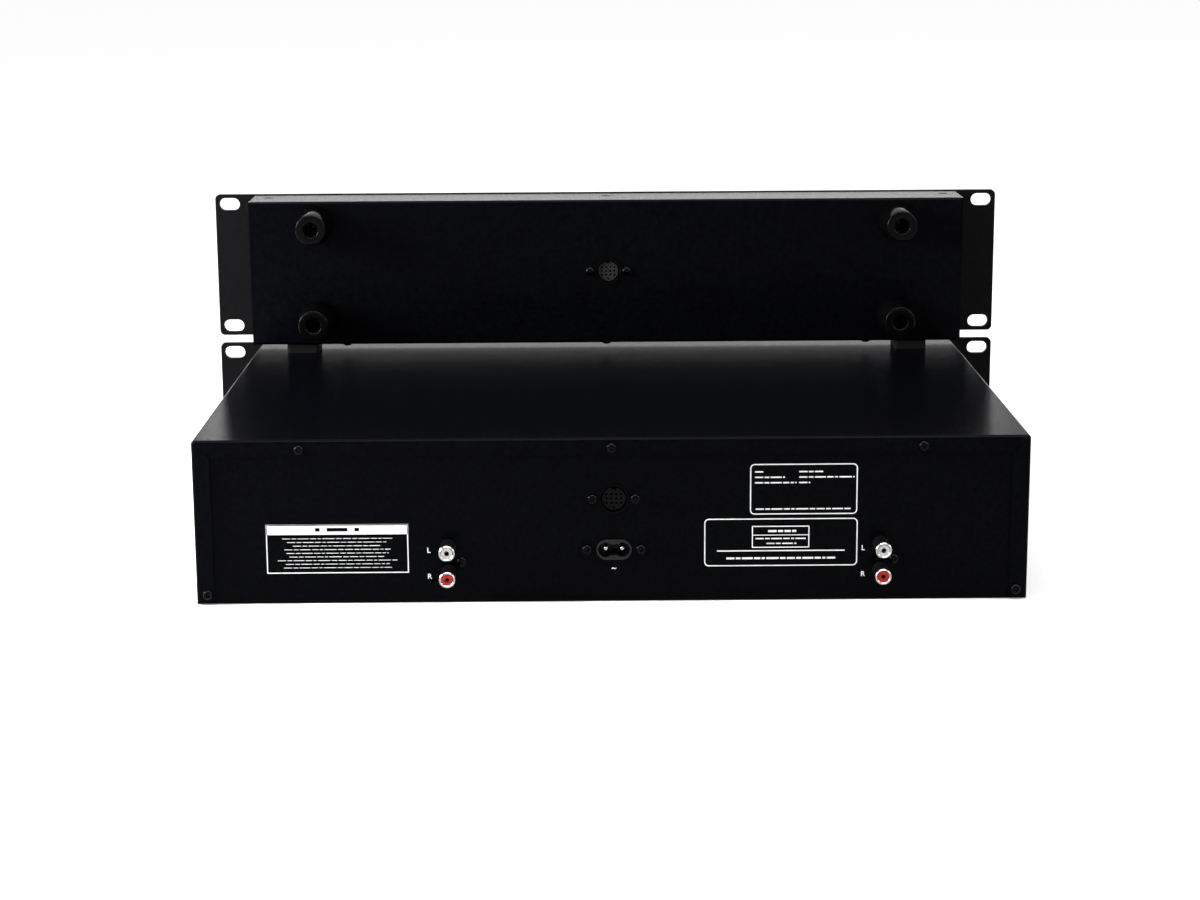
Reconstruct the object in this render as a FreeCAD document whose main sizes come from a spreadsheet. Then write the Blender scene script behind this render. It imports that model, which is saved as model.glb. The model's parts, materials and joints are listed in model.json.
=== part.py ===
import FreeCAD, Part
import math
import os
import re
import Sketcher

# Twin disc player for a 19-inch rack. A deep main unit holds two tray-loading disc drives; a shallow
# control unit stands on two pads on its cover. Each sub-part below is one object of the document, and
# its sizes come from the sheet of driving dimensions.
#
# The frame: +X to the right seen from the front, the fronts face -Y, +Z is up. The origin is the centre
# of the main unit's underside. Sub-parts are drawn with y = 0 at the back of the rack panels.

SIZES = {
    # Rack panels, two units high
    "panel_width": 482.6,
    "panel_height": 88.1,
    "panel_thickness": 3.0,
    "panel_corner": 3.0,
    "slot_side": 8.75,
    "slot_edge": 5.95,
    "slot_length": 12.6,
    "slot_radius": 3.8,
    # Folded steel cases
    "case_width": 432.0,
    "case_drop": 0.5,
    "main_depth": 275.0,
    "control_depth": 35.4,
    "sheet": 1.2,
    "bend": 1.8,
    "seam": 0.1,
    "side_lip": 9.4,
    "top_lip": 8.5,
    "mitre_gap": 0.4,
    "flange_rise": 9.0,
    "flange_inset": 4.0,
    "top_flange": 24.0,
    # Fits
    "door_gap": 0.3,
    "running_gap": 0.05,
    "seat_gap": 0.3,
    "cut_margin": 1.0,
    # Screws
    "screw_radius": 1.5,
    "screw_length": 5.0,
    "screw_hole_gap": 0.1,
    "pan_head_radius": 2.65,
    "pan_head_height": 2.1,
    "flat_head_radius": 2.8,
    "top_screw_spacing": 160.6,
    "top_screw_drop": 5.0,
    "corner_screw_inset": 6.0,
    "corner_screw_height": 5.9,
    "side_screw_height": 5.9,
    "side_screw_front": 60.0,
    "side_screw_rear": 215.0,
    "control_top_screw_spacing": 206.6,
    "control_top_screw_depth": 14.0,
    "control_base_screw_spacing": 159.2,
    "control_base_screw_inset": 8.4,
    # Link sockets
    "socket_place": -1.1,
    "socket_radius": 7.7,
    "socket_insert_radius": 6.0,
    "socket_groove_radius": 6.9,
    "socket_groove": 3.0,
    "socket_reach": 10.0,
    "socket_rim": 0.8,
    "socket_recess": 0.4,
    "socket_plate_width": 29.0,
    "socket_plate_height": 17.0,
    "socket_plate": 1.2,
    "socket_screw_spacing": 11.1,
    "socket_pin_radius": 0.65,
    "socket_pin_depth": 4.0,
    "socket_pin_pitch": 2.5,
    "socket_row_pitch": 2.35,
    "socket_key_width": 2.4,
    "socket_key_height": 1.3,
    "main_socket_height": 55.3,
    "control_socket_rise": 0.2,
    # Mains inlet, two pins
    "inlet_height": 28.3,
    "inlet_nose_length": 18.3,
    "inlet_nose_radius": 5.4,
    "inlet_screw_spacing": 14.0,
    "inlet_flange_width": 36.0,
    "inlet_flange_height": 13.0,
    "inlet_flange": 2.0,
    "inlet_reach": 16.0,
    "inlet_cavity_depth": 12.0,
    "inlet_lobe_radius": 3.95,
    "inlet_waist": 6.0,
    "inlet_pin_spacing": 8.6,
    "inlet_pin_radius": 1.2,
    "inlet_pin_length": 9.5,
    # Phono sockets
    "phono_left_place": 84.9,
    "phono_right_place": -139.4,
    "phono_upper_height": 30.5,
    "phono_pitch": 14.0,
    "phono_rim_radius": 4.15,
    "phono_rim": 1.5,
    "phono_shell_radius": 3.3,
    "phono_bore_radius": 3.0,
    "phono_pin_radius": 1.4,
    "phono_reach": 15.0,
    "phono_barrel_radius": 3.6,
    "phono_rib_radius": 3.95,
    "phono_rib": 1.0,
    "phono_rib_pitch": 2.4,
    "phono_rib_count": 6,
    "phono_insert_recess": 0.3,
    "phono_block_width": 13.0,
    "phono_block_margin": 8.0,
    "phono_block_depth": 12.0,
    "phono_screw_offset": 7.0,
    "phono_screw_drop": 1.2,
    # Disc drives
    "deck_offset": 112.0,
    "disc_radius": 60.0,
    "small_disc_radius": 40.0,
    "disc_place": 76.0,
    "disc_gap": 0.6,
    "disc_recess": 2.2,
    "small_disc_recess": 3.4,
    "tray_top": 55.0,
    "tray_width": 130.0,
    "tray_length": 168.0,
    "tray_thickness": 5.0,
    "tray_slot_radius": 20.0,
    "notch_radius": 11.0,
    "notch_place": 51.0,
    "door_width": 133.4,
    "door_height": 16.8,
    "door_centre": 52.0,
    "door_thickness": 3.5,
    "door_back": 0.5,
    "door_edge": 0.8,
    # Rack and loading gear
    "gear_module": 1.0,
    "gear_teeth_count": 24,
    "gear_face": 3.4,
    "gear_hub_radius": 5.0,
    "gear_place": 20.0,
    "gear_axle_radius": 2.0,
    "rack_line": 57.0,
    "rack_back": 3.15,
    "rack_height": 4.0,
    "rack_start": 4.0,
    "rack_teeth_count": 52,
    "backlash": 0.24,
    "root_clearance": 0.25,
    # Loader frame
    "frame_floor": 40.0,
    "frame_plate": 2.0,
    "frame_wall": 4.0,
    "frame_side_gap": 0.4,
    "frame_top": 57.0,
    "frame_front": 2.2,
    "frame_rear": 172.0,
    "frame_ledge": 3.0,
    "frame_tab_length": 22.0,
    "frame_window_width": 76.0,
    "frame_window_front": 46.0,
    "frame_window_rear": 158.0,
    "frame_leg_radius": 4.0,
    "frame_leg_spacing": 64.0,
    "frame_leg_inset": 8.0,
    "bridge_width": 24.0,
    "bridge_top": 66.0,
    "bridge_plate": 2.0,
    "bridge_ring_radius": 22.0,
    # Clamp puck
    "puck_radius": 14.0,
    "puck_neck_radius": 10.0,
    "puck_underside": 54.8,
    "puck_shoe": 2.8,
    "puck_cap": 2.0,
    "puck_hollow_radius": 8.0,
    "puck_hollow": 2.4,
    # Traverse, spindle and laser sled
    "traverse_width": 70.0,
    "traverse_front": 52.0,
    "traverse_rear": 163.0,
    "traverse_bottom": 43.0,
    "traverse_height": 4.5,
    "traverse_window_width": 58.0,
    "traverse_window_front": 88.0,
    "traverse_window_rear": 152.0,
    "traverse_pin_radius": 2.0,
    "traverse_pin_place": 160.0,
    "bracket_start": 38.6,
    "bracket_thickness": 3.4,
    "bracket_length": 9.0,
    "bracket_rise": 8.0,
    "motor_radius": 12.0,
    "motor_height": 5.0,
    "rod_radius": 1.5,
    "rod_spacing": 24.0,
    "spindle_shaft_radius": 1.5,
    "turntable_radius": 15.5,
    "turntable_top": 54.0,
    "turntable_height": 2.0,
    "hub_cone_radius": 7.4,
    "hub_tip_radius": 4.5,
    "hub_height": 2.6,
    "sled_width": 55.0,
    "sled_length": 20.0,
    "sled_front": 91.0,
    "sled_bottom": 42.4,
    "sled_height": 6.2,
    "lens_tower_radius": 8.5,
    "lens_tower_height": 1.8,
    "lens_radius": 3.6,
    "lens_height": 1.4,
    # Front buttons of the main unit
    "open_button_offset": 40.0,
    "open_button_height": 24.0,
    "open_button_width": 22.0,
    "open_button_rise": 7.0,
    "power_button_height": 44.0,
    "power_button_radius": 6.0,
    "button_reach": 2.0,
    "button_flange": 1.0,
    "button_flange_margin": 2.0,
    # Boards inside the main unit
    "board_thickness": 1.6,
    "board_height": 8.0,
    "board_post_radius": 3.0,
    "board_post_inset": 5.0,
    "logic_board_width": 76.0,
    "logic_board_front": 12.0,
    "logic_board_rear": 150.0,
    "logic_chip_size": 20.0,
    "logic_chip_height": 3.0,
    "power_board_width": 76.0,
    "power_board_length": 62.0,
    "power_board_inset": 22.0,
    "capacitor_radius": 8.0,
    "capacitor_height": 26.0,
    "heat_sink_width": 40.0,
    "heat_sink_depth": 12.0,
    "transformer_place": 150.0,
    "transformer_inset": 42.0,
    "transformer_width": 56.0,
    "transformer_length": 46.0,
    "transformer_height": 47.0,
    "transformer_coil_width": 30.0,
    "transformer_coil_length": 58.0,
    "transformer_coil_height": 34.0,
    "transformer_foot_width": 78.0,
    "transformer_foot_length": 18.0,
    "transformer_foot": 2.0,
    # Pads between the units
    "pad_height": 5.5,
    "pad_width": 19.5,
    "pad_length": 20.0,
    "pad_place": 186.0,
    "pad_inset": 2.4,
    "pad_corner": 2.0,
    # Feet on the back of the control unit
    "foot_spacing": 176.4,
    "foot_rise": 28.9,
    "foot_lift": 0.45,
    "foot_length": 23.0,
    "foot_base_radius": 11.6,
    "foot_face_radius": 9.1,
    "foot_recess_radius": 4.4,
    "foot_floor": 6.0,
    "foot_chamfer": 0.9,
    "foot_mouth": 0.5,
    # Control surface, for each deck
    "window_place": -58.0,
    "window_row": 22.0,
    "window_width": 84.0,
    "window_height": 26.0,
    "window_flange": 1.5,
    "window_flange_margin": 2.0,
    "jog_place": 30.0,
    "jog_radius": 29.5,
    "jog_height": 11.6,
    "jog_shaft_radius": 6.0,
    "jog_shaft_reach": 6.2,
    "jog_dish_radius": 21.0,
    "jog_dish": 1.6,
    "jog_dimple_radius": 7.5,
    "jog_dimple_place": 12.0,
    "jog_dimple": 1.4,
    "jog_flute_radius": 0.9,
    "jog_flute_count": 48,
    "ring_radius": 36.0,
    "ring_inner_radius": 30.1,
    "ring_height": 6.1,
    "ring_web": 1.6,
    "ring_lift": 0.4,
    "ring_sleeve_radius": 11.6,
    "ring_sleeve_reach": 3.0,
    "ring_notch_radius": 2.4,
    "ring_notch_count": 12,
    "ring_notch_depth": 1.0,
    "encoder_radius": 10.0,
    "fader_place": 88.0,
    "fader_slot_end": 9.0,
    "fader_slot_width": 3.0,
    "fader_body_width": 12.0,
    "fader_body_inset": 7.0,
    "fader_channel_depth": 6.0,
    "fader_cap_width": 14.0,
    "fader_cap_length": 24.0,
    "fader_cap_height": 10.0,
    "fader_cap_lift": 1.5,
    "fader_cap_edge": 1.2,
    "fader_groove_width": 6.0,
    "fader_groove": 1.6,
    "fader_stem_width": 2.2,
    "fader_stem_length": 8.0,
    "fader_stem_reach": 5.0,
    "big_key_width": 28.0,
    "big_key_height": 16.0,
    "small_key_width": 18.0,
    "small_key_height": 7.0,
    "cue_key_place": -86.0,
    "play_key_place": -54.0,
    "big_key_row": -24.0,
    "skip_key_place": -24.0,
    "skip_back_row": -29.5,
    "skip_forward_row": -17.5,
    "loop_in_place": -91.0,
    "loop_out_place": -67.0,
    "loop_key_row": -4.0,
    "key_edge": 0.8,
    "key_plunger_radius": 2.0,
    "key_plunger_reach": 5.4,
    "key_switch_size": 6.0,
    "key_switch_gap": 1.3,
    # Circuit board of the control unit
    "control_board_width": 410.0,
    "control_board_inset": 5.0,
    "control_board_depth": 12.0,
    "control_post_left": -6.0,
    "control_post_right": 63.0,
    "control_post_inset": 5.0,
}

PRESSURE_ANGLE = math.radians(20)

document = FreeCAD.newDocument("twin_disc_player")
sheet = document.addObject("Spreadsheet::Sheet", "Sizes")
for row, (alias, value) in enumerate(SIZES.items(), start=1):
    sheet.set(f"A{row}", alias)
    sheet.set(f"B{row}", str(value))
    sheet.setAlias(f"B{row}", alias)
document.recompute()

ALIAS_WORDS = re.compile(r"\b(" + "|".join(SIZES) + r")\b")
sub_parts = {}


# ---------------------------------------------------------------- drawing helpers

def bound(expression):
    """Points every size named in an expression at its cell of the sheet."""
    return ALIAS_WORDS.sub(r"Sizes.\1", expression)


def number(expression):
    """The present value of an expression over the sheet."""
    return float(sheet.evalExpression(bound(expression)))


def place(item, x="0", y="0", z="0"):
    """Binds a sub-part's place; y counts from the back of the rack panels."""
    item.setExpression("Placement.Base.x", bound(x))
    item.setExpression("Placement.Base.y", bound(f"({y}) - main_depth / 2"))
    item.setExpression("Placement.Base.z", bound(z))


def add_body(label, x="0", y="0", z="0"):
    body = document.addObject("PartDesign::Body", label)
    body.Label = label
    place(body, x, y, z)
    sub_parts[label] = body
    return body


def add_copy(source, label, shift):
    """The same sub-part again, shifted along X."""
    copy = document.addObject("Part::Compound", label)
    copy.Label = label
    copy.Links = [sub_parts[source]]
    copy.setExpression("Placement.Base.x", bound(shift))
    sub_parts[label] = copy


def repeat_on_right_deck(name):
    add_copy(f"left_{name}", f"right_{name}", "2 * deck_offset")


def origin_feature(body, role):
    return [item for item in body.Origin.OriginFeatures if item.Role == role][0]


def add_sketch(body, plane, offset="0"):
    """A sketch on an origin plane, moved along the plane's normal (+Z, -Y or +X)."""
    sketch = body.newObject("Sketcher::SketchObject", f"{body.Name}_sketch")
    sketch.AttachmentSupport = (origin_feature(body, plane), [""])
    sketch.MapMode = "FlatFace"
    sketch.setExpression("AttachmentOffset.Base.z", bound(offset))
    return sketch


def fix_point(sketch, geometry, point, x, y):
    for kind, expression in (("DistanceX", x), ("DistanceY", y)):
        rule = Sketcher.Constraint(kind, -1, 1, geometry, point, number(expression))
        index = sketch.addConstraint(rule)
        sketch.setExpression(f"Constraints[{index}]", bound(expression))


def fix_radius(sketch, geometry, radius):
    index = sketch.addConstraint(Sketcher.Constraint("Radius", geometry, number(radius)))
    sketch.setExpression(f"Constraints[{index}]", bound(radius))


def draw_polygon(sketch, corners):
    """A closed outline through corners given as pairs of expressions."""
    points = [FreeCAD.Vector(number(x), number(y), 0) for x, y in corners]
    lines = [Part.LineSegment(a, b) for a, b in zip(points, points[1:] + points[:1])]
    ids = sketch.addGeometry(lines, False)
    joins = []
    for index, line in enumerate(ids):
        following = ids[(index + 1) % len(ids)]
        joins.append(Sketcher.Constraint("Coincident", line, 2, following, 1))
    sketch.addConstraint(joins)
    for line, (x, y) in zip(ids, corners):
        fix_point(sketch, line, 1, x, y)


def draw_rectangle(sketch, left, bottom, right, top):
    draw_polygon(sketch, [(left, bottom), (right, bottom), (right, top), (left, top)])


def draw_block(sketch, x, y, width, height):
    """A rectangle by its centre."""
    draw_rectangle(sketch, f"({x}) - ({width}) / 2", f"({y}) - ({height}) / 2",
                   f"({x}) + ({width}) / 2", f"({y}) + ({height}) / 2")


def draw_circle(sketch, x, y, radius):
    centre = FreeCAD.Vector(number(x), number(y), 0)
    circle = sketch.addGeometry(Part.Circle(centre, FreeCAD.Vector(0, 0, 1), number(radius)), False)
    fix_radius(sketch, circle, radius)
    fix_point(sketch, circle, 3, x, y)


def draw_slot(sketch, x, y, length, radius):
    """A slot along the sketch's first axis: two equal round ends joined by tangent lines."""
    up = FreeCAD.Vector(0, 0, 1)
    reach = number(length) / 2 - number(radius)
    centre = FreeCAD.Vector(number(x), number(y), 0)
    r = number(radius)
    ends = []
    for side in (1, -1):
        circle = Part.Circle(centre + FreeCAD.Vector(side * reach, 0, 0), up, r)
        start = -side * math.pi / 2
        ends.append(Part.ArcOfCircle(circle, start, start + math.pi))
    lines = []
    for side in (1, -1):
        a = centre + FreeCAD.Vector(side * reach, side * r, 0)
        b = centre + FreeCAD.Vector(-side * reach, side * r, 0)
        lines.append(Part.LineSegment(a, b))
    right, left, top, bottom = sketch.addGeometry(ends + lines, False)
    sketch.addConstraint([
        Sketcher.Constraint("Tangent", right, 2, top, 1),
        Sketcher.Constraint("Tangent", top, 2, left, 1),
        Sketcher.Constraint("Tangent", left, 2, bottom, 1),
        Sketcher.Constraint("Tangent", bottom, 2, right, 1),
        Sketcher.Constraint("Equal", right, left),
    ])
    fix_radius(sketch, right, radius)
    fix_point(sketch, right, 3, f"({x}) + ({length}) / 2 - ({radius})", y)
    fix_point(sketch, left, 3, f"({x}) - ({length}) / 2 + ({radius})", y)


def pad(body, sketch, length):
    feature = body.newObject("PartDesign::Pad", f"{body.Name}_pad")
    feature.Profile = sketch
    feature.setExpression("Length", bound(length))
    return feature


def pocket(body, sketch, depth):
    """Cuts against the sketch's normal: down, towards +Y or towards -X."""
    feature = body.newObject("PartDesign::Pocket", f"{body.Name}_pocket")
    feature.Profile = sketch
    feature.setExpression("Length", bound(depth))
    return feature


def revolve(body, sketch):
    """Turns a half profile about the sketch's second axis."""
    feature = body.newObject("PartDesign::Revolution", f"{body.Name}_revolution")
    feature.Profile = sketch
    feature.ReferenceAxis = (sketch, ["V_Axis"])
    feature.Angle = 360
    return feature


def round_edges(body, feature, names, radius, kind="Fillet"):
    """Rounds (or chamfers) the named edges of the body's last feature."""
    if not names:
        raise ValueError(f"{body.Label}: no edge found to round")
    rounding = body.newObject(f"PartDesign::{kind}", f"{body.Name}_rounding")
    rounding.Base = (feature, names)
    rounding.setExpression("Radius" if kind == "Fillet" else "Size", bound(radius))
    return rounding


def edges_along(feature, axis, places):
    """Straight edges along an axis (0, 1, 2) that cross the given places of the other two axes."""
    document.recompute()
    wanted = [(number(u), number(v)) for u, v in places]
    names = []
    for index, edge in enumerate(feature.Shape.Edges, start=1):
        box = edge.BoundBox
        spans = [box.XLength, box.YLength, box.ZLength]
        middle = [box.Center.x, box.Center.y, box.Center.z]
        run = spans.pop(axis)
        middle.pop(axis)
        if run < 0.01 or max(spans) > 0.001:
            continue
        if any(abs(middle[0] - u) < 0.01 and abs(middle[1] - v) < 0.01 for u, v in wanted):
            names.append(f"Edge{index}")
    return names


def edges_in_plane(feature, axis, level, least=0.01):
    """Edges that lie in a plane across an axis and are longer than a least length."""
    document.recompute()
    at = number(level)
    names = []
    for index, edge in enumerate(feature.Shape.Edges, start=1):
        box = edge.BoundBox
        low = (box.XMin, box.YMin, box.ZMin)[axis]
        high = (box.XMax, box.YMax, box.ZMax)[axis]
        if abs(low - at) < 0.01 and abs(high - at) < 0.01 and edge.Length > least:
            names.append(f"Edge{index}")
    return names


def pattern(body, feature, kind, axis, occurrences, length=None):
    """Repeats a feature round an origin axis, or along it over a length."""
    copies = body.newObject(f"PartDesign::{kind}", f"{body.Name}_pattern")
    copies.Originals = [feature]
    if kind == "PolarPattern":
        copies.Axis = (origin_feature(body, axis), [""])
        copies.Angle = 360
    else:
        copies.Direction = (origin_feature(body, axis), [""])
        copies.setExpression("Length", bound(length))
    copies.setExpression("Occurrences", bound(occurrences))
    body.Tip = copies
    return copies


def add_feature(label, shape, x="0", y="0", z="0"):
    """A sub-part whose shape is worked out in this file."""
    feature = document.addObject("Part::Feature", label)
    feature.Label = label
    feature.Shape = shape
    place(feature, x, y, z)
    sub_parts[label] = feature
    return feature


# ---------------------------------------------------------------- places used by several sub-parts

CASE_HEIGHT = "(panel_height - case_drop)"
CONTROL_BASE = f"({CASE_HEIGHT} + pad_height)"
WALL_FACE = "(main_depth - sheet - seam)"
WALL_INSIDE = "(main_depth - 2 * sheet - seam)"
COVER_FOOT = "(sheet + seam)"
COVER_INSIDE = "(case_width / 2 - sheet - seam)"
SCREW_HOLE = "(screw_radius + screw_hole_gap)"
TRAY_BOTTOM = "(tray_top - tray_thickness)"
GEAR_RADIUS = "(gear_module * gear_teeth_count / 2)"
TOOTH_PITCH = "(pi * gear_module)"
FRAME_INSIDE = "(tray_width / 2 + frame_side_gap)"
FRAME_OUTSIDE = "(tray_width / 2 + frame_side_gap + frame_wall)"
PHONO_LOWER = "(phono_upper_height - phono_pitch)"
PHONO_SCREW_HEIGHT = "(phono_upper_height - phono_pitch / 2 - phono_screw_drop)"
ROD_HEIGHT = "(traverse_bottom + traverse_height / 2)"
PANEL_MIDDLE = "(panel_height / 2)"
CONTROL_SOCKET = "(panel_height / 2 + control_socket_rise)"
BASE_SCREW_LINE = "(control_depth - control_base_screw_inset)"
WINDOW_HEIGHT = "(panel_height / 2 + window_row)"
FADER_LENGTH = "(panel_height - 2 * fader_body_inset)"
FADER_SLOT = f"({FADER_LENGTH} - 2 * fader_slot_end)"
BUTTON_STOP = "(sheet + seat_gap)"
BOARD_BACK = "(control_board_depth + board_thickness)"

REAR_SCREWS = [
    ("-top_screw_spacing", f"{CASE_HEIGHT} - top_screw_drop"),
    ("0", f"{CASE_HEIGHT} - top_screw_drop"),
    ("top_screw_spacing", f"{CASE_HEIGHT} - top_screw_drop"),
    ("corner_screw_inset - case_width / 2", "corner_screw_height"),
    ("case_width / 2 - corner_screw_inset", "corner_screw_height"),
]
SOCKET_SCREW_PLACES = [f"socket_place + {side} * socket_screw_spacing" for side in (-1, 1)]
SOCKET_SCREWS = [(x, "main_socket_height") for x in SOCKET_SCREW_PLACES]
CONTROL_SOCKET_SCREWS = [(x, CONTROL_SOCKET) for x in SOCKET_SCREW_PLACES]
INLET_SCREWS = [(f"socket_place + {side} * inlet_screw_spacing", "inlet_height") for side in (-1, 1)]
PHONO_PLACES = ["phono_left_place", "phono_right_place"]
PHONO_AXES = [(x, z) for x in PHONO_PLACES for z in ("phono_upper_height", PHONO_LOWER)]
PHONO_SCREWS = [(f"{x} - phono_screw_offset", PHONO_SCREW_HEIGHT) for x in PHONO_PLACES]
SIDE_SCREWS = [("side_screw_front", "side_screw_height"), ("side_screw_rear", "side_screw_height")]
FOOT_PLACES = [
    (f"{side} * foot_spacing", f"{PANEL_MIDDLE} + foot_lift + {level} * foot_rise")
    for side in (-1, 1) for level in (-1, 1)
]
DECKS = ("-deck_offset", "deck_offset")
KEYS = {
    "cue_button": ("cue_key_place", "big_key_row", "big_key_width", "big_key_height"),
    "play_button": ("play_key_place", "big_key_row", "big_key_width", "big_key_height"),
    "skip_back_button": ("skip_key_place", "skip_back_row", "small_key_width", "small_key_height"),
    "skip_forward_button": ("skip_key_place", "skip_forward_row", "small_key_width", "small_key_height"),
    "loop_in_button": ("loop_in_place", "loop_key_row", "small_key_width", "small_key_height"),
    "loop_out_button": ("loop_out_place", "loop_key_row", "small_key_width", "small_key_height"),
}


def cut_round_holes(body, places, radius, start, depth):
    """Round holes along Y, from a plane at y = start."""
    sketch = add_sketch(body, "XZ_Plane", f"-({start})")
    for x, z in places:
        draw_circle(sketch, x, z, radius)
    return pocket(body, sketch, depth)


# ---------------------------------------------------------------- main unit: case

def make_main_chassis():
    """Front wall, floor and rear wall folded from one strip, with a low flange along each side."""
    body = add_body("main_chassis")
    top = f"{CASE_HEIGHT} - sheet - seam"
    strip = add_sketch(body, "YZ_Plane", "-case_width / 2")
    draw_polygon(strip, [
        ("0", "0"), (WALL_FACE, "0"), (WALL_FACE, top), (WALL_INSIDE, top),
        (WALL_INSIDE, "sheet"), ("sheet", "sheet"), ("sheet", top), ("0", top),
    ])
    folded = pad(body, strip, "case_width")
    outer = edges_along(folded, 0, [("0", "0"), (WALL_FACE, "0")])
    bent = round_edges(body, folded, outer, "bend")
    inner = edges_along(bent, 0, [("sheet", "sheet"), (WALL_INSIDE, "sheet")])
    round_edges(body, bent, inner, "bend - sheet")

    side_room = add_sketch(body, "XZ_Plane", "cut_margin")
    for left, right in ((COVER_INSIDE, "case_width / 2 + cut_margin"),
                        ("-case_width / 2 - cut_margin", f"-{COVER_INSIDE}")):
        draw_rectangle(side_room, left, "sheet", right, CASE_HEIGHT)
    pocket(body, side_room, "main_depth + 2 * cut_margin")

    flanges = add_sketch(body, "XY_Plane", "sheet")
    for side in (1, -1):
        centre = f"{side} * ({COVER_INSIDE} - sheet / 2)"
        middle = f"({WALL_FACE}) / 2"
        draw_block(flanges, centre, middle, "sheet", f"{WALL_FACE} - 2 * flange_inset")
    pad(body, flanges, "flange_rise")

    front = add_sketch(body, "XZ_Plane", "cut_margin")
    for deck in DECKS:
        draw_block(front, deck, "door_centre", "door_width + 4 * door_gap", "door_height + 4 * door_gap")
        draw_block(front, f"{deck} + open_button_offset", "open_button_height",
                   "open_button_width + 2 * door_gap", "open_button_rise + 2 * door_gap")
    draw_circle(front, "0", "power_button_height", "power_button_radius + door_gap")
    pocket(body, front, "sheet + 2 * cut_margin")

    rear = f"{WALL_INSIDE} - cut_margin"
    through = "sheet + 2 * cut_margin"
    wall_screws = REAR_SCREWS + SOCKET_SCREWS + INLET_SCREWS + PHONO_SCREWS
    cut_round_holes(body, wall_screws, SCREW_HOLE, rear, through)
    socket = [("socket_place", "main_socket_height")]
    cut_round_holes(body, socket, "socket_radius + screw_hole_gap", rear, through)
    cut_round_holes(body, PHONO_AXES, "phono_rib_radius + screw_hole_gap", rear, through)
    inlet = add_sketch(body, "XZ_Plane", f"-({rear})")
    draw_slot(inlet, "socket_place", "inlet_height", "inlet_nose_length + 2 * screw_hole_gap",
              "inlet_nose_radius + screw_hole_gap")
    pocket(body, inlet, through)

    sides = add_sketch(body, "YZ_Plane", "case_width / 2")
    for y, z in SIDE_SCREWS:
        draw_circle(sides, y, z, SCREW_HOLE)
    pocket(body, sides, "case_width")


def make_main_top_cover():
    """Top and sides folded from one sheet, with lips that turn in over the rear wall."""
    body = add_body("main_top_cover")
    half = "case_width / 2"
    arch = add_sketch(body, "XZ_Plane", "-main_depth")
    inside = f"{half} - sheet"
    draw_polygon(arch, [
        (f"-{half}", COVER_FOOT), (f"-{half}", CASE_HEIGHT), (half, CASE_HEIGHT), (half, COVER_FOOT),
        (inside, COVER_FOOT), (inside, f"{CASE_HEIGHT} - sheet"),
        (f"-({inside})", f"{CASE_HEIGHT} - sheet"), (f"-({inside})", COVER_FOOT),
    ])
    pad(body, arch, "main_depth")
    lips = add_sketch(body, "XZ_Plane", "-main_depth")
    edge = f"{half} - side_lip"
    under = f"({CASE_HEIGHT} - top_lip)"
    draw_polygon(lips, [
        (f"-{half}", COVER_FOOT), (f"-{half}", CASE_HEIGHT), (half, CASE_HEIGHT), (half, COVER_FOOT),
        (edge, COVER_FOOT), (edge, under), (f"-({edge})", under), (f"-({edge})", COVER_FOOT),
    ])
    folded = pad(body, lips, "sheet")
    bends = edges_along(folded, 1, [(f"-{half}", CASE_HEIGHT), (half, CASE_HEIGHT)])
    bends += edges_along(folded, 2, [(f"-{half}", "main_depth"), (half, "main_depth")])
    bends += edges_along(folded, 0, [("main_depth", CASE_HEIGHT)])
    round_edges(body, folded, bends, "bend")

    mitres = add_sketch(body, "XZ_Plane", "-(main_depth - sheet - cut_margin)")
    for side in (1, -1):
        inner = f"{edge} - cut_margin"
        outer = f"{half} - bend"
        draw_polygon(mitres, [
            (f"{side} * ({inner})", f"{under} - cut_margin"),
            (f"{side} * ({inner} + mitre_gap)", f"{under} - cut_margin"),
            (f"{side} * ({outer} + mitre_gap)", f"{CASE_HEIGHT} - bend"),
            (f"{side} * ({outer})", f"{CASE_HEIGHT} - bend"),
        ])
    pocket(body, mitres, "sheet + 2 * cut_margin")
    cut_round_holes(body, REAR_SCREWS, SCREW_HOLE, "main_depth - sheet - cut_margin",
                    "sheet + 2 * cut_margin")
    sides = add_sketch(body, "YZ_Plane", "case_width / 2 + cut_margin")
    for y, z in SIDE_SCREWS:
        draw_circle(sides, y, z, SCREW_HOLE)
    pocket(body, sides, "case_width + 2 * cut_margin")


def add_rack_panel(label, base):
    """A plain rack panel with rounded corners and four slots."""
    body = add_body(label, z=base)
    outline = add_sketch(body, "XZ_Plane")
    draw_rectangle(outline, "-panel_width / 2", "0", "panel_width / 2", "panel_height")
    plate = pad(body, outline, "panel_thickness")
    corners = [(x, z) for x in ("-panel_width / 2", "panel_width / 2") for z in ("0", "panel_height")]
    round_edges(body, plate, edges_along(plate, 1, corners), "panel_corner")
    slots = add_sketch(body, "XZ_Plane", "panel_thickness + cut_margin")
    for side in (1, -1):
        for z in ("slot_edge", "panel_height - slot_edge"):
            draw_slot(slots, f"{side} * (panel_width / 2 - slot_side)", z, "slot_length", "slot_radius")
    pocket(body, slots, "panel_thickness + 2 * cut_margin")
    return body


def make_main_front_panel():
    body = add_rack_panel("main_front_panel", "0")
    openings = add_sketch(body, "XZ_Plane", "panel_thickness + cut_margin")
    for deck in DECKS:
        draw_block(openings, deck, "door_centre", "door_width + 2 * door_gap", "door_height + 2 * door_gap")
        draw_block(openings, f"{deck} + open_button_offset", "open_button_height",
                   "open_button_width + 2 * door_gap", "open_button_rise + 2 * door_gap")
    draw_circle(openings, "0", "power_button_height", "power_button_radius + door_gap")
    pocket(body, openings, "panel_thickness + 2 * cut_margin")


# ---------------------------------------------------------------- screws

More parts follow.
